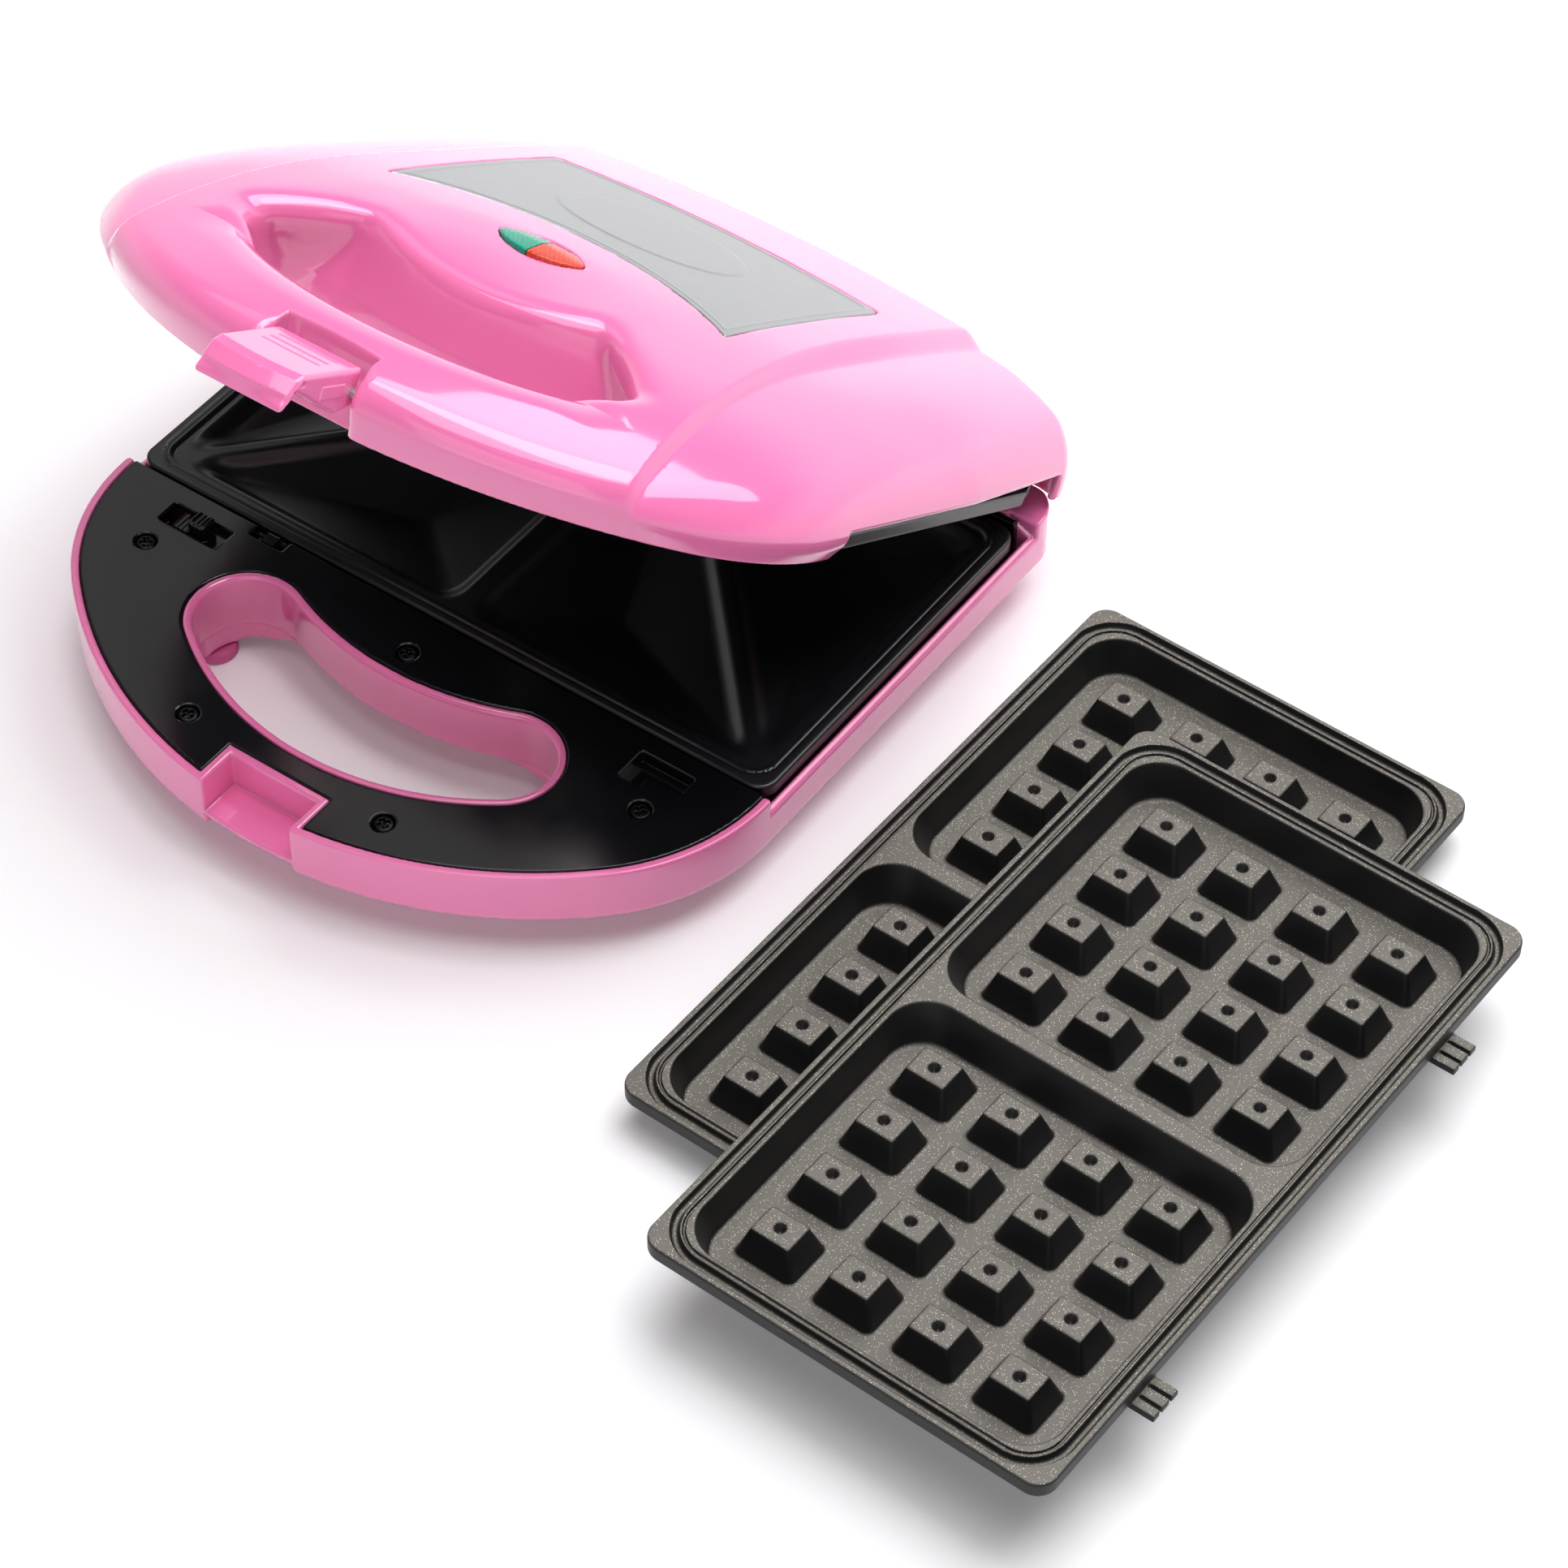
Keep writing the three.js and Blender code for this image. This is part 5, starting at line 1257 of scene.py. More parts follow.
@dataclass
class Base:
    """Low pink housing with its grip, latch notch, pan and feet."""

    rim: float = 30.5
    band_bottom: float = 11.5
    wall: float = 2.6
    floor: float = 2.4
    pan: tuple = (-112.0, 112.0, -10.0, 137.0)
    pan_corner: float = 14.0
    pan_bottom: float = 4.2
    pan_draft: float = 5.0
    hollow_rear: float = 132.7
    side_top: float = 24.5
    side_depth: float = 10.0
    side_slope: float = 0.45
    side_y: Pair = (-0.8, 134.0)
    lip: float = 2.5
    skirt_bottom: float = 5.0
    arch_top: float = 18.0
    arch_span: float = 50.0
    leg_radius: float = 8.0
    barrel: float = 6.5
    arm_x: Pair = (75.7, 88.3)
    arm_front: float = 136.1
    feet: tuple = (("foot_front_left", -66, -26), ("foot_front_right", 66, -26),
                   ("foot_rear_left", -88, 118), ("foot_rear_right", 88, 118))

    def outer(self, x: Array, y: Array, z: Array, pan: Array) -> Array:
        """Distance to the housing's outer form, without its openings.

        Args:
            x: places across, in millimetres.
            y: places from front to back.
            z: heights.
            pan: distance to the pan's outline.

        Returns:
            Distance at each place.
        """
        band = soft_max(BODY.distance(x, y, SITE.rear), self.band_bottom - z, 3.5)
        tray = soft_max(pan, most(self.pan_bottom - z, z - self.band_bottom - 1), 2.0)
        outer = soft_min(band, tray, 1.5)
        skirt = most(GRIP.distance(x, y) - self.lip, slab(z, self.skirt_bottom, self.band_bottom + 0.3))
        rise = self.arch_top - self.skirt_bottom
        radius = (self.arch_span ** 2 + rise ** 2) / (2 * rise)
        arch = np.hypot(x, z - self.arch_top + radius) - radius
        outer = soft_min(outer, most(skirt, -arch, GRIP.cap_y - y), 1.0)
        for _, fx, fy in self.feet[:2]:
            leg = most(np.hypot(x - fx, y - fy) - self.leg_radius,
                       slab(z, self.pan_bottom, self.band_bottom + 0.3))
            outer = soft_min(outer, leg, 1.0)
        return soft_max(outer, z - self.rim, 0.9)

    def form(self, x: Array, y: Array, z: Array) -> Array:
        """Distance to the housing.

        Args:
            x: places across, in millimetres.
            y: places from front to back.
            z: heights.

        Returns:
            Distance at each place.
        """
        across, hole, gap = np.abs(x), GRIP.distance(x, y), NOTCH.distance(x, y)
        draft = self.pan_draft * np.clip((self.band_bottom - z) / (self.band_bottom - self.pan_bottom), 0, 1)
        pan = rectangle(x, y, self.pan, self.pan_corner) + draft
        hollow = most(BODY.distance(x, y, SITE.rear) + self.wall, self.band_bottom + self.floor - z)
        hollow = least(hollow, most(pan + self.wall, self.pan_bottom + self.floor - z))
        hollow = most(hollow, y - self.hollow_rear, self.lip - hole, NOTCH.wall - gap)
        ledge = self.side_top + self.side_slope * np.clip(BODY.half_width - across, 0, self.side_depth)
        side = most(BODY.half_width - self.side_depth - across, slab(y, *self.side_y), ledge - z)
        rear = most(SITE.hinge_y - y, self.barrel - SITE.from_hinge(y, z))
        arms = most(slab(across, *self.arm_x), self.arm_front - y)
        return carve(self.outer(x, y, z, pan), (hollow, 0.8), (side, 1.2),
                     (most(gap, NOTCH.floor_top - z), 0.9), (most(gap, z - NOTCH.floor_bottom), 0.9),
                     (rear, 0.8), (arms, 0.6), (hole, 1.6))

    def foot(self, x: Array, y: Array, z: Array) -> Array:
        """Distance to one rubber foot with its spigot and a shallow ring underneath.

        Args:
            x: places across, in millimetres.
            y: places from front to back.
            z: heights.

        Returns:
            Distance at each place.
        """
        radius = np.hypot(x, y)
        pad = soft_max(radius - 7 + 0.12 * z, slab(z, 0, 3.85), 1.2)
        ring = most(np.abs(radius - 4.2) - 0.7, z - 0.6)
        spigot = most(radius - 2.6, slab(z, 3, 7.2))
        return soft_min(carve(pad, (ring, 0.4)), spigot, 0.4)

    def build(self) -> None:
        """Builds the housing and its feet."""
        shell = Casting(self.form, (-118.5, -90.5, 4), (118.5, 149, 31), 0.8, 130_000).mesh("base_shell")
        install("base_shell", shell, SITE.base(), Surface.SHELL, "base", "lower_housing")
        foot = Casting(self.foot, (-7.2, -7.2, 0), (7.2, 7.2, 7.5), 0.4, 6_000).mesh("rubber_foot")
        for name, x, y in self.feet:
            install(f"rubber_{name}", foot, SITE.base() @ spot(x, y, 0), Surface.RUBBER, "base", name)


# Lid

@dataclass
class Lid:
    """Domed pink lid with a lower wing at each side, its badge, lens and latch pocket."""

    rim: float = 31.5
    rear: float = 151.7
    top: float = 73.8
    crown_y: float = 60.0
    nose_run: float = 155.0
    nose_fall: float = 24.5
    rear_radius: float = 1400.0
    side_radius: float = 760.0
    shoulder: float = 75.3
    shoulder_y: float = 65.0
    flare_radius: float = 600.0
    step: float = 3.4
    wing_width: float = 42.7
    wing_fall: float = 9.0
    bulge: float = 5.0
    crown_round: float = 6.0
    wing_round: float = 12.0
    rear_lean: float = 1.6
    wall: float = 2.8
    inner_wall: float = 2.4
    lip: float = 2.5
    side_top: float = 41.0
    side_x: float = 108.0
    side_y: Pair = (1.0, 138.0)
    pocket_half: float = 15.5
    pocket_back: float = -83.2
    relief: float = 7.1
    barrel: float = 5.4
    arm_x: Pair = (76.0, 88.0)
    seat: float = 1.2
    lens_seat: float = 6.0
    seat_gap: float = 0.3
    badge_half: float = 59.0
    badge_front: float = 16.5
    badge_waist: float = 32.5
    badge_back: float = 106.2
    oval: tuple = (31.0, 22.0, 68.0)
    lens_half: float = 14.9
    lens_depth: float = 7.9
    lens_y: float = 8.8
    flare: float = 3.0
    flare_from: float = 44.5
    flare_rise: float = 31.3
    scoop_radius: float = 54.0
    scoop_run: float = 2.4
    scoop_y: float = -80.0
    scoop_front: float = -45.0
    end_reach: float = 76.0
    end_lean: float = 0.4
    ledge: float = 63.5
    low_round: float = 1.2
    bar_round: float = 8.0
    wide_round: float = 17.0

    def crown(self, x: Array, y: Array) -> Array:
        """Height of the raised middle.

        Args:
            x: places across, in millimetres.
            y: places from front to back.

        Returns:
            Height at each place.
        """
        nose = (np.maximum(self.crown_y - y, 0) / self.nose_run) ** 3
        behind = np.maximum(y - self.crown_y, 0) ** 2 / (2 * self.rear_radius)
        return self.top - self.nose_fall * nose - behind - x * x / (2 * self.side_radius) * (1 + 3 * nose)

    def past(self, x: Array, y: Array) -> Array:
        """How far a point lies outside the shoulder line."""
        return np.abs(x) - self.shoulder - np.maximum(self.shoulder_y - y, 0) ** 2 / (2 * self.flare_radius)

    def roof(self, x: Array, y: Array) -> Array:
        """Height of the roof: the raised middle, stepping down softly to the wings.

        Args:
            x: places across, in millimetres.
            y: places from front to back.

        Returns:
            Height at each place.
        """
        past = self.past(x, y)
        soft = 4 + 5 * ease((y + 10) / 90)
        step = self.step * ease(past / soft + 0.6)
        return self.crown(x, y) - step - self.wing_fall * (np.maximum(past, 0) / self.wing_width) ** 3

    def outer(self, x: Array, y: Array, z: Array) -> Array:
        """Distance to the lid's outer form, without its openings.

        Args:
            x: places across, in millimetres.
            y: places from front to back.
            z: heights.

        Returns:
            Distance at each place.
        """
        roof = self.roof(x, y)
        rise = np.clip((z - self.rim) / (roof - 2.2 - self.rim), 0, 1)
        lean = 1 - (1 - np.minimum(rise / 0.7, 1)) ** 1.5
        fade = np.clip((SITE.hinge_y - y) / BODY.corner_radius, 0, 1)
        side = BODY.distance(x, y, self.rear) - self.bulge * fade * lean
        side = side + self.rear_lean * (1 - fade) * rise ** 2
        winged = np.maximum(ease(self.past(x, y) / 22), 0.8 * ease((y - 110) / 30))
        rounding = self.crown_round + (self.wing_round - self.crown_round) * winged
        return soft_max(side, (z - roof) * 0.96, rounding)

    def hole(self, x: Array, y: Array, z: Array) -> Array:
        """Distance to the grip hole: its ends close in under the roof, and a scoop slopes up behind it.

        Args:
            x: places across, in millimetres.
            y: places from front to back.
            z: heights.

        Returns:
            Distance at each place.
        """
        flare = self.flare * np.clip((z - self.flare_from) / self.flare_rise, 0, 1)
        reach = np.hypot(x, y - self.scoop_y)
        rise = z - self.ledge
        ends = (reach - self.end_reach + self.end_lean * rise) * 0.92
        grip = soft_max(GRIP.distance(x, y) - flare, ends, 3.0)
        scoop = (reach - self.scoop_radius - self.scoop_run * rise) * 0.385
        return soft_min(grip, soft_max(scoop, self.scoop_front - y, 4.0), 5.0)

    def rim_round(self, x: Array, y: Array, z: Array) -> Array:
        """Size of the round on the hole's rim: widest along the front bar, small underneath.

        Args:
            x: places across, in millimetres.
            y: places from front to back.
            z: heights.

        Returns:
            Size at each place.
        """
        wide = self.bar_round + 3 * ease((np.abs(x) - 35) / 15) + 11 * ease((self.scoop_front - y) / 12)
        wide = np.minimum(wide, self.wide_round)
        return self.low_round + (wide - self.low_round) * ease((z - 40) / 12)

    def badge_edge(self, x: Array, y: Array) -> Array:
        """Distance to the badge's outline.

        Args:
            x: places across, in millimetres.
            y: places from front to back.

        Returns:
            Distance at each place.
        """
        bow = self.badge_waist - self.badge_front
        radius = (self.badge_half ** 2 + bow ** 2) / (2 * bow)
        front = radius - np.hypot(x, y - self.badge_waist + radius)
        side = soft_max(np.abs(x) - self.badge_half, y - self.badge_back, 3.0)
        return soft_max(side, front, 0.8)

    def lens_edge(self, x: Array, y: Array) -> Array:
        """Distance to the lens's pointed oval.

        Args:
            x: places across, in millimetres.
            y: places from front to back.

        Returns:
            Distance at each place.
        """
        radius = (self.lens_half ** 2 + self.lens_depth ** 2) / (2 * self.lens_depth)
        offset = radius - self.lens_depth
        across = y - self.lens_y
        return soft_max(np.hypot(x, across - offset) - radius, np.hypot(x, across + offset) - radius, 2.5)

    def form(self, x: Array, y: Array, z: Array) -> Array:
        """Distance to the lid shell.

        Args:
            x: places across, in millimetres.
            y: places from front to back.
            z: heights.

        Returns:
            Distance at each place.
        """
        outer, hole, roof = self.outer(x, y, z), self.hole(x, y, z), self.crown(x, y)
        badge, lens = self.badge_edge(x, y), self.lens_edge(x, y)
        rim_round = self.rim_round(x, y, z)
        pocket = most(np.abs(x) - self.pocket_half, y - self.pocket_back)
        cheek = 0.9 + 3.5 * ease((-86 - y) / 4)
        shell = soft_max(carve(outer, (hole, rim_round), (pocket, cheek)), self.rim - z, 0.8)
        hollow = soft_max(outer + self.wall, self.lip - hole, rim_round)
        boxes = least(self.inner_wall - least(badge, lens), z - roof + 9)
        hollow = most(hollow, self.inner_wall - pocket, boxes)
        sides = most(self.side_x - np.abs(x), slab(y, *self.side_y), z - self.side_top)
        shell = carve(shell, (hollow, 0.6), (sides, 1.2), (SITE.from_hinge(y, z) - self.relief, 0.5))
        arm = most(np.abs(y - SITE.hinge_y) - self.barrel, slab(z, SITE.hinge_z, 60))
        arm = least(SITE.from_hinge(y, z) - self.barrel, arm)
        shell = soft_min(shell, most(slab(np.abs(x), *self.arm_x), arm), 1.0)
        return carve(shell, (most(badge - self.seat_gap, roof - self.seat - z), 0.5),
                     (most(lens - self.seat_gap, roof - self.lens_seat - z), 0.5))

    def badge(self, x: Array, y: Array, z: Array) -> Array:
        """Distance to the badge: thin sheet with a raised border line and a raised oval.

        Args:
            x: places across, in millimetres.
            y: places from front to back.
            z: heights.

        Returns:
            Distance at each place.
        """
        edge = self.badge_edge(x, y)
        border = 0.22 * np.exp(-((edge + 2.6) / 0.55) ** 2)
        half_x, half_y, middle = self.oval
        ring = (np.hypot(x / half_x, (y - middle) / half_y) - 1) * 25
        raised = 0.28 * ease(-ring / 1.6 + 0.5)
        face = z - self.crown(x, y) + 0.1 - border - raised
        return soft_max(edge, most(face, -face - 0.9), 0.4)

    def lens(self, x: Array, y: Array, z: Array) -> Array:
        """Distance to the right half of the lens, a hair's breadth off the middle.

        Args:
            x: places across, in millimetres.
            y: places from front to back.
            z: heights.

        Returns:
            Distance at each place.
        """
        edge = self.lens_edge(x, y)
        dome = z - self.crown(x, y) - 1.0 * np.clip(-edge / self.lens_depth, 0, 1) ** 0.7
        whole = soft_max(edge, most(dome, self.crown(x, y) - 4 - z), 0.5)
        return most(whole, 0.15 - x)

    def mirrored(self, x: Array, y: Array, z: Array) -> Array:
        """Distance to the left half of the lens."""
        return self.lens(-x, y, z)

    def build(self) -> None:
        """Builds the shell, badge and lens."""
        for name, form, low, high, cell, triangles, surface, node in (
            ("lid_shell", self.form, (-124, -96, 20), (124, 153, 75), 0.88, 180_000,
             Surface.SHELL, "upper_housing"),
            ("badge_sheet", self.badge, (-60, 16, 63), (60, 107, 75), 0.5, 60_000,
             Surface.BADGE, "badge_plate"),
            ("ready_lens_half", self.lens, (0, 0, 66), (15, 13, 76), 0.22, 12_000,
             Surface.RED, "ready_lens"),
            ("power_lens_half", self.mirrored, (-15, 0, 66), (0, 13, 76), 0.22, 12_000,
             Surface.GREEN, "power_lens"),
        ):
            mesh = Casting(form, low, high, cell, triangles).mesh(name)
            install(name, mesh, SITE.lid(), surface, "lid", node)


@dataclass
class Latch:
    """Hooked latch that pivots in the lid's nose, with three fine grooves for the finger."""

    half: float = 14.7
    wall: float = 2.0
    bow: float = 1.6
    groove_half: float = 9.5
    groove_y: tuple = (-94, -98, -102)
    profile: tuple = ((-88.6, 50.8), (-115.6, 50.8), (-118.6, 49.6), (-121.4, 45.8), (-121.4, 41.0),
                      (-119.9, 41.6), (-118.6, 46.2), (-96.0, 38.4), (-88.6, 40.0))
    hollow: tuple = ((-84.0, 48.8), (-115.6, 48.8), (-117.4, 47.0), (-116.6, 30.0), (-84.0, 30.0))

    def form(self, x: Array, y: Array, z: Array) -> Array:
        """Distance to the latch.

        Args:
            x: places across, in millimetres.
            y: places from front to back.
            z: heights.

        Returns:
            Distance at each place.
        """
        across = np.abs(x)
        bowed = y - self.bow * (x / self.half) ** 2 * ease((-104 - y) / 8) * ease((z - 42) / 3)
        body = soft_max(polygon(bowed, z, self.profile), across - self.half, 1.6)
        inside = most(polygon(bowed, z, self.hollow), across - self.half + self.wall)
        body = carve(body, (inside, 0.6))
        for groove_y in self.groove_y:
            groove = np.hypot(y - groove_y, z - 50.9) - 0.42
            body = carve(body, (most(groove, across - self.groove_half), 0.3))
        tab = most(slab(y, -105.5, -95), slab(z, 43.4, 47.2))
        tab = soft_max(tab, slab(across, self.half - 1, self.half + 0.35), 0.3)
        dimple = np.hypot(y + 114.6, z - 48.6) - 0.9
        return least(carve(body, (most(dimple, self.half - 0.5 - across), 0.3)), tab)

    def build(self) -> None:
        """Builds the latch."""
        mesh = Casting(self.form, (-15.2, -122, 38), (15.2, -88, 51.2), 0.32, 30_000).mesh("latch_hook")
        install("latch_hook", mesh, SITE.lid(), Surface.SHELL, "latch", "latch")


# Waffle plates

@dataclass
class WafflePlate(CastPlate):
    """Cast plate with two squares of four by four pegs inside a double-ridged rim."""

    tab_reach: float = 7.0
    tab_slots: Pair | None = (1.7, 2.6)
    rounds: Pair = (0.6, 0.5)
    depth: float = 15.1
    floor: float = 3.2
    rim_corner: float = 16.0
    cavity_inset: float = 7.1
    cavity_corner: float = 12.0
    draft: float = 2.4
    divider: float = 2.8
    divider_draft: float = 5.2
    rows: int = 4
    first: float = 21.0
    pitch_long: float = 22.52
    pitch_short: float = 25.38
    top_long: float = 4.7
    top_short: float = 6.1
    slope: float = 3.5
    peg_drop: float = 2.1
    field_margin: float = 12.0
    field_side: float = 54.0
    dimple: float = 1.95
    dimple_depth: float = 2.6
    grooves: tuple = ((3.05, 1.4, 1.9), (5.5, 0.5, 0.8))
    places: tuple = (("back", 203.7, 14.7, 0.0, -91.75), ("front", 246.6, -32.3, 15.4, -91.94))

    def rim(self, x: Array, y: Array) -> Array:
        """Height of the rim: level, with a broad and a narrow groove that turn wide at the corners.

        Args:
            x: places across, in millimetres.
            y: places from front to back.

        Returns:
            Height at each place.
        """
        inward = -self.outline(x, y, -self.width / 2, 0, self.rim_corner)
        height = self.depth
        for centre, half, fall in self.grooves:
            height = height - fall * np.maximum(1 - ((inward - centre) / half) ** 2, 0) ** 0.8
        return height

    def pocket(self, x: Array, y: Array, z: Array) -> Array:
        """Distance to the hollow of either square, whose walls lean in towards its floor.

        Args:
            x: places across, in millimetres.
            y: places from front to back.
            z: heights.

        Returns:
            Distance at each place.
        """
        down = np.clip((self.depth - z) / (self.depth - self.floor), 0, 1.1)
        lean = self.draft * down
        end = self.half - self.cavity_inset - lean
        side = self.width / 2 - self.cavity_inset - lean
        start = self.divider + self.divider_draft * down
        across = most(start - np.abs(x), np.abs(x) - end) + self.cavity_corner
        hollow = rounded(across, np.abs(y) - side + self.cavity_corner, self.cavity_corner)
        return soft_max(hollow * 0.96, self.floor - z, 1.6)

    def pegs(self, x: Array, y: Array, z: Array) -> Array:
        """Distance to the nearest peg: a block with four sloped sides and a round dimple in its top.

        Args:
            x: places across, in millimetres.
            y: places from front to back.
            z: heights.

        Returns:
            Distance at each place.
        """
        last = self.rows - 1
        across = np.abs(x) - self.first
        column = across - self.pitch_long * np.clip(np.round(across / self.pitch_long), 0, last)
        lane = y / self.pitch_short + last / 2
        row = (lane - np.clip(np.round(lane), 0, last)) * self.pitch_short
        top = self.depth - self.peg_drop
        height = top - self.floor
        below = np.clip((top - z) / height, -0.1, 1.2)
        grow = self.slope * below
        u = np.abs(column) - self.top_long - grow
        v = np.abs(row) - self.top_short - grow
        sides = soft_max(u, v, 1.0 + 1.4 * np.maximum(below, 0)) * (height / math.hypot(height, self.slope))
        pit = (np.hypot(column, row) - self.dimple * (1 + (z - top) / self.dimple_depth)) * 0.7
        return carve(soft_max(sides, z - top, 0.7), (pit, 0.35))

    def form(self, x: Array, y: Array, z: Array) -> Array:
        """Distance to the plate, y from the plate's middle.

        Args:
            x: places across, in millimetres.
            y: places from front to back.
            z: heights.

        Returns:
            Distance at each place.
        """
        front = -self.width / 2
        level = self.depth - self.flange
        flange = soft_max(self.outline(x, y, front, 0, self.corner), level - z, 1.0)
        flange = soft_max(flange, (z - self.rim(x, y)) * 0.7, 0.8)
        pan = self.outline(x, y, front, self.inset, self.corner) + np.maximum(6 - z, 0) * 0.2
        pan = soft_max(pan, slab(z, 0, self.depth - 2), 2.0)
        plate = carve(soft_min(flange, pan, 1.5), (self.pocket(x, y, z), 0.7))
        end = self.first + (self.rows - 1) * self.pitch_long + self.field_margin
        cut = most(np.abs(x) - end, np.abs(y) - self.field_side)
        plate = soft_min(plate, most(self.pegs(x, y, z), cut, self.floor - 1 - z), 0.9)
        return least(plate, self.holds(x, y, z, front, level))

    def build(self) -> None:
        """Builds the plate once and sets it on both nodes' places."""
        mesh = Casting(self.form, (-116, -66, 0), (116, 72, 15.4), 0.52, 190_000).mesh("waffle_plate")
        for name, x, y, z, turn in self.places:
            place = SITE.base() @ spot(x, y, z, turn)
            install(f"waffle_plate_{name}_cast", mesh, place, Surface.WAFFLE, f"{name}_plate",
                    f"waffle_plate_{name}")


# Pieces kept from the frame

@dataclass
class Innards:
    """The frame's own pieces that stay as they are and only get their finish."""

    finishes: dict = field(default_factory=lambda: {
        "heater": Surface.HEATER, "reflector": Surface.SHEET, "thermostat": Surface.CERAMIC,
        "slider_spring": Surface.SCREW, "terminal_block": Surface.CERAMIC, "thermal_fuse": Surface.CERAMIC,
        "cord_gland": Surface.TRIM, "hinge_pin_left": Surface.SHEET, "hinge_pin_right": Surface.SHEET,
        "lamp_board": Surface.CERAMIC, "power_lamp": Surface.GLASS, "ready_lamp": Surface.GLASS,
        "latch_pin": Surface.SHEET,
    })
    bevel: float = 0.25
    sharpest: float = 40.0

    def build(self) -> None:
        """Dresses every frame piece that nothing stands for."""
        for name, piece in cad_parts.items():
            key = name.removeprefix("lower_").removeprefix("upper_")
            if key not in self.finishes:
                continue
            finish = self.finishes[key].finish
            for slot in piece.material_slots:
                slot.material = finish.material()
            rounding = piece.modifiers.new("edge_rounding", "BEVEL")
            rounding.width = self.bevel * MM
            rounding.segments = 2
            rounding.limit_method = "ANGLE"
            rounding.angle_limit = math.radians(self.sharpest)
            LOG.info("%s: kept, %s", name, finish.name)


# Studio

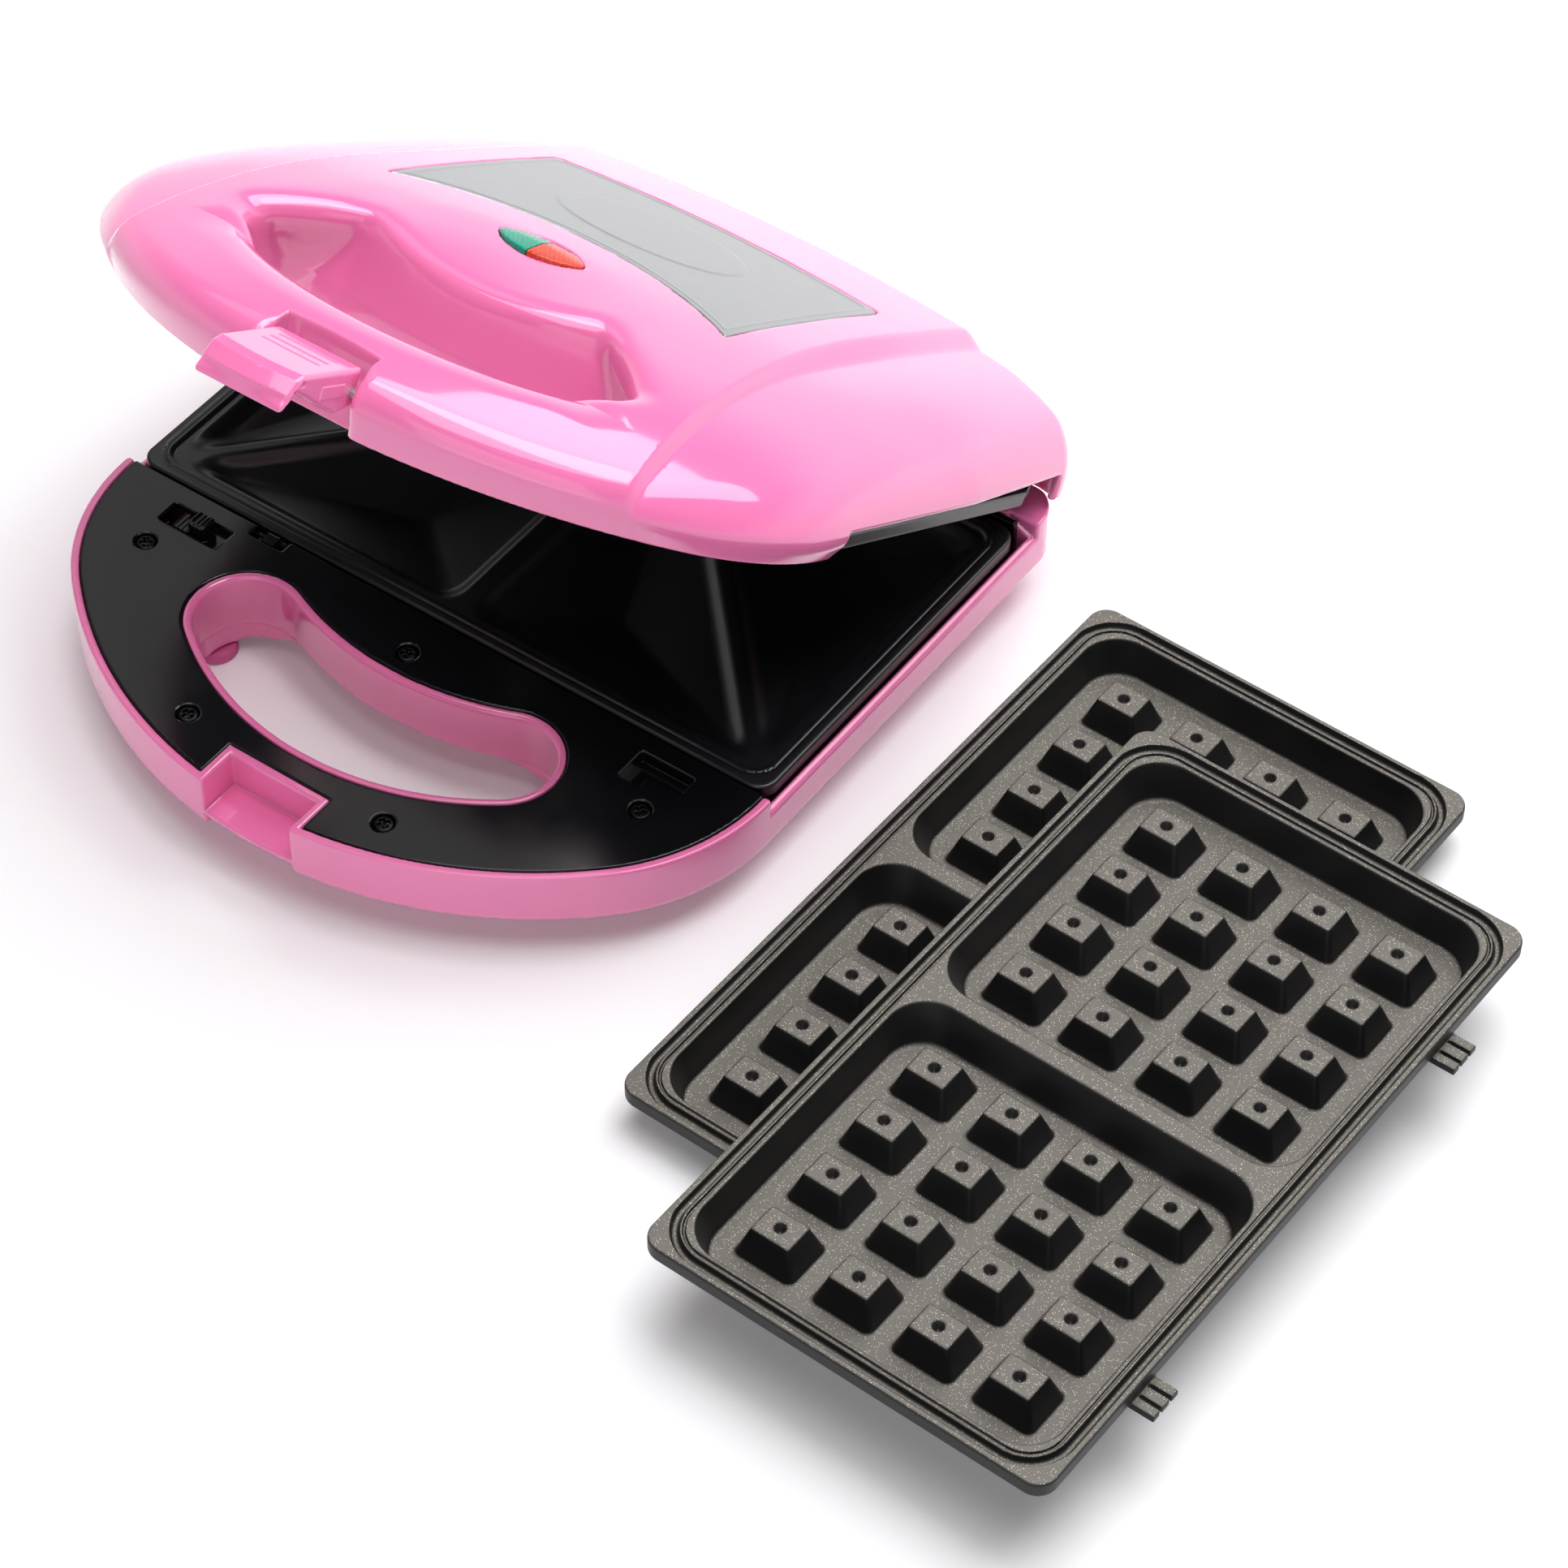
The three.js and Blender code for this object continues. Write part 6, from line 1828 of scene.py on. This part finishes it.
@dataclass
class Studio:
    """Camera at the photograph's angle, white table and soft lamps from above and behind.

    Args:
        place: the camera's place in the frame, in metres.
        azimuth: its turn to the right of the front, in degrees.
        elevation: its height angle, in degrees.
        roll: its turn about its own axis, in degrees.
        focal_pixels: its focal length in pixels of the photograph.
        sensor: its sensor's width in millimetres.
        ceiling: strength of the room's light from above.
        horizon: strength of the room's light from the side.
        table_size: half the table's width, in metres.
        fade: distances between which the table turns to plain white, in metres.
        lamps: name, place, size and power of each lamp.
    """

    place: tuple = (0.53518, -0.74555, 1.0213)
    azimuth: float = 34.895
    elevation: float = 47.644
    roll: float = 0.804
    focal_pixels: float = 5896.97
    sensor: float = 36.0
    ceiling: float = 0.07
    horizon: float = 0.95
    table_size: float = 6.0
    fade: Pair = (0.6, 1.5)
    lamps: tuple = (
        ("key_behind", (0.15, 1.0, 1.9), 2.0, 46.0),
        ("overhead", (0.05, 0.05, 1.9), 1.6, 20.0),
        ("front_fill", (0.5, -1.4, 0.8), 1.2, 4.0),
        ("sheen_card", (-1.3, 0.8, 1.5), 0.9, 1.6),
    )

    def camera(self) -> None:
        """Sets the camera."""
        az, el, roll = (math.radians(v) for v in (self.azimuth, self.elevation, self.roll))
        back = Vector((math.sin(az) * math.cos(el), -math.cos(az) * math.cos(el), math.sin(el)))
        side = Vector((0, 0, 1)).cross(back).normalized()
        up = back.cross(side)
        turned_side = math.cos(roll) * side + math.sin(roll) * up
        turned_up = math.cos(roll) * up - math.sin(roll) * side
        data = bpy.data.cameras.new("photo_camera")
        data.sensor_width = self.sensor
        data.lens = self.sensor * self.focal_pixels / PHOTO_PIXELS
        data.clip_start = 0.05
        camera = put("photo_camera", data)
        turn = Matrix((turned_side, turned_up, back)).transposed().to_4x4()
        camera.matrix_world = Matrix.Translation(self.place) @ turn
        bpy.context.scene.camera = camera

    def table(self) -> None:
        """Lays the white table."""
        mesh = bpy.data.meshes.new("table")
        size = self.table_size
        corners = [(-size, -size, 0), (size, -size, 0), (size, size, 0), (-size, size, 0)]
        mesh.from_pydata(corners, [], [(0, 1, 2, 3)])
        finish = bpy.data.materials.new("white_table")
        tree = cleared(finish)
        paper = add(tree, "ShaderNodeBsdfDiffuse", {"Color": linear("#f0eff1")})
        glow = add(tree, "ShaderNodeEmission", {"Color": linear(WHITE), "Strength": 0.08})
        near = add(tree, "ShaderNodeAddShader", {0: paper.outputs[0], 1: glow.outputs[0]})
        white = add(tree, "ShaderNodeEmission", {"Color": linear(WHITE), "Strength": 1.0})
        place = add(tree, "ShaderNodeTexCoord").outputs["Object"]
        away = add(tree, "ShaderNodeVectorMath", {0: place}, operation="LENGTH")
        distant = stretch(tree, away.outputs["Value"], self.fade, kind="SMOOTHSTEP")
        both = add(tree, "ShaderNodeMixShader", {0: distant, 1: near.outputs[0], 2: white.outputs[0]})
        light = add(tree, "ShaderNodeLightPath").outputs
        seen = operate(tree, "MAXIMUM", light["Is Camera Ray"], light["Is Glossy Ray"])
        mixed = add(tree, "ShaderNodeMixShader", {0: seen, 1: paper.outputs[0], 2: both.outputs[0]})
        add(tree, "ShaderNodeOutputMaterial", {"Surface": mixed.outputs[0]})
        mesh.materials.append(finish)
        table = put("table", mesh)

    def lights(self) -> None:
        """Hangs the lamps and sets the room's light."""
        for name, place, size, power in self.lamps:
            data = bpy.data.lights.new(name, "AREA")
            data.shape = "SQUARE"
            data.size = size
            data.energy = power
            lamp = put(name, data)
            lamp.location = place
            lamp.rotation_euler = (Vector((0, 0, 0.05)) - Vector(place)).to_track_quat("-Z", "Y").to_euler()
        world = bpy.data.worlds.new("white_room")
        bpy.context.scene.world = world
        tree = cleared(world)
        skyward = add(tree, "ShaderNodeTexCoord").outputs["Generated"]
        upward = add(tree, "ShaderNodeSeparateXYZ", {0: skyward}).outputs["Z"]
        level = stretch(tree, upward, (0.1, 0.45), (self.horizon, self.ceiling), "SMOOTHSTEP")
        room = add(tree, "ShaderNodeBackground", {"Color": linear(WHITE), "Strength": level})
        backdrop = add(tree, "ShaderNodeBackground", {"Color": linear(WHITE), "Strength": 1.0})
        seen = add(tree, "ShaderNodeLightPath").outputs["Is Camera Ray"]
        mixed = add(tree, "ShaderNodeMixShader", {0: seen, 1: room.outputs[0], 2: backdrop.outputs[0]})
        add(tree, "ShaderNodeOutputWorld", {"Surface": mixed.outputs[0]})

    def build(self) -> None:
        """Sets the whole studio."""
        self.camera()
        self.table()
        self.lights()
        bpy.context.scene.view_settings.view_transform = "Standard"


def main() -> None:
    """Builds the studio, the appliance and its plates, in order."""
    logging.basicConfig(level=logging.INFO, format="%(message)s", force=True)
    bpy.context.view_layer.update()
    Studio().build()
    Base().build()
    Half().build()
    Lid().build()
    Latch().build()
    WafflePlate().build()
    Innards().build()


if __name__ == "__main__":
    main()
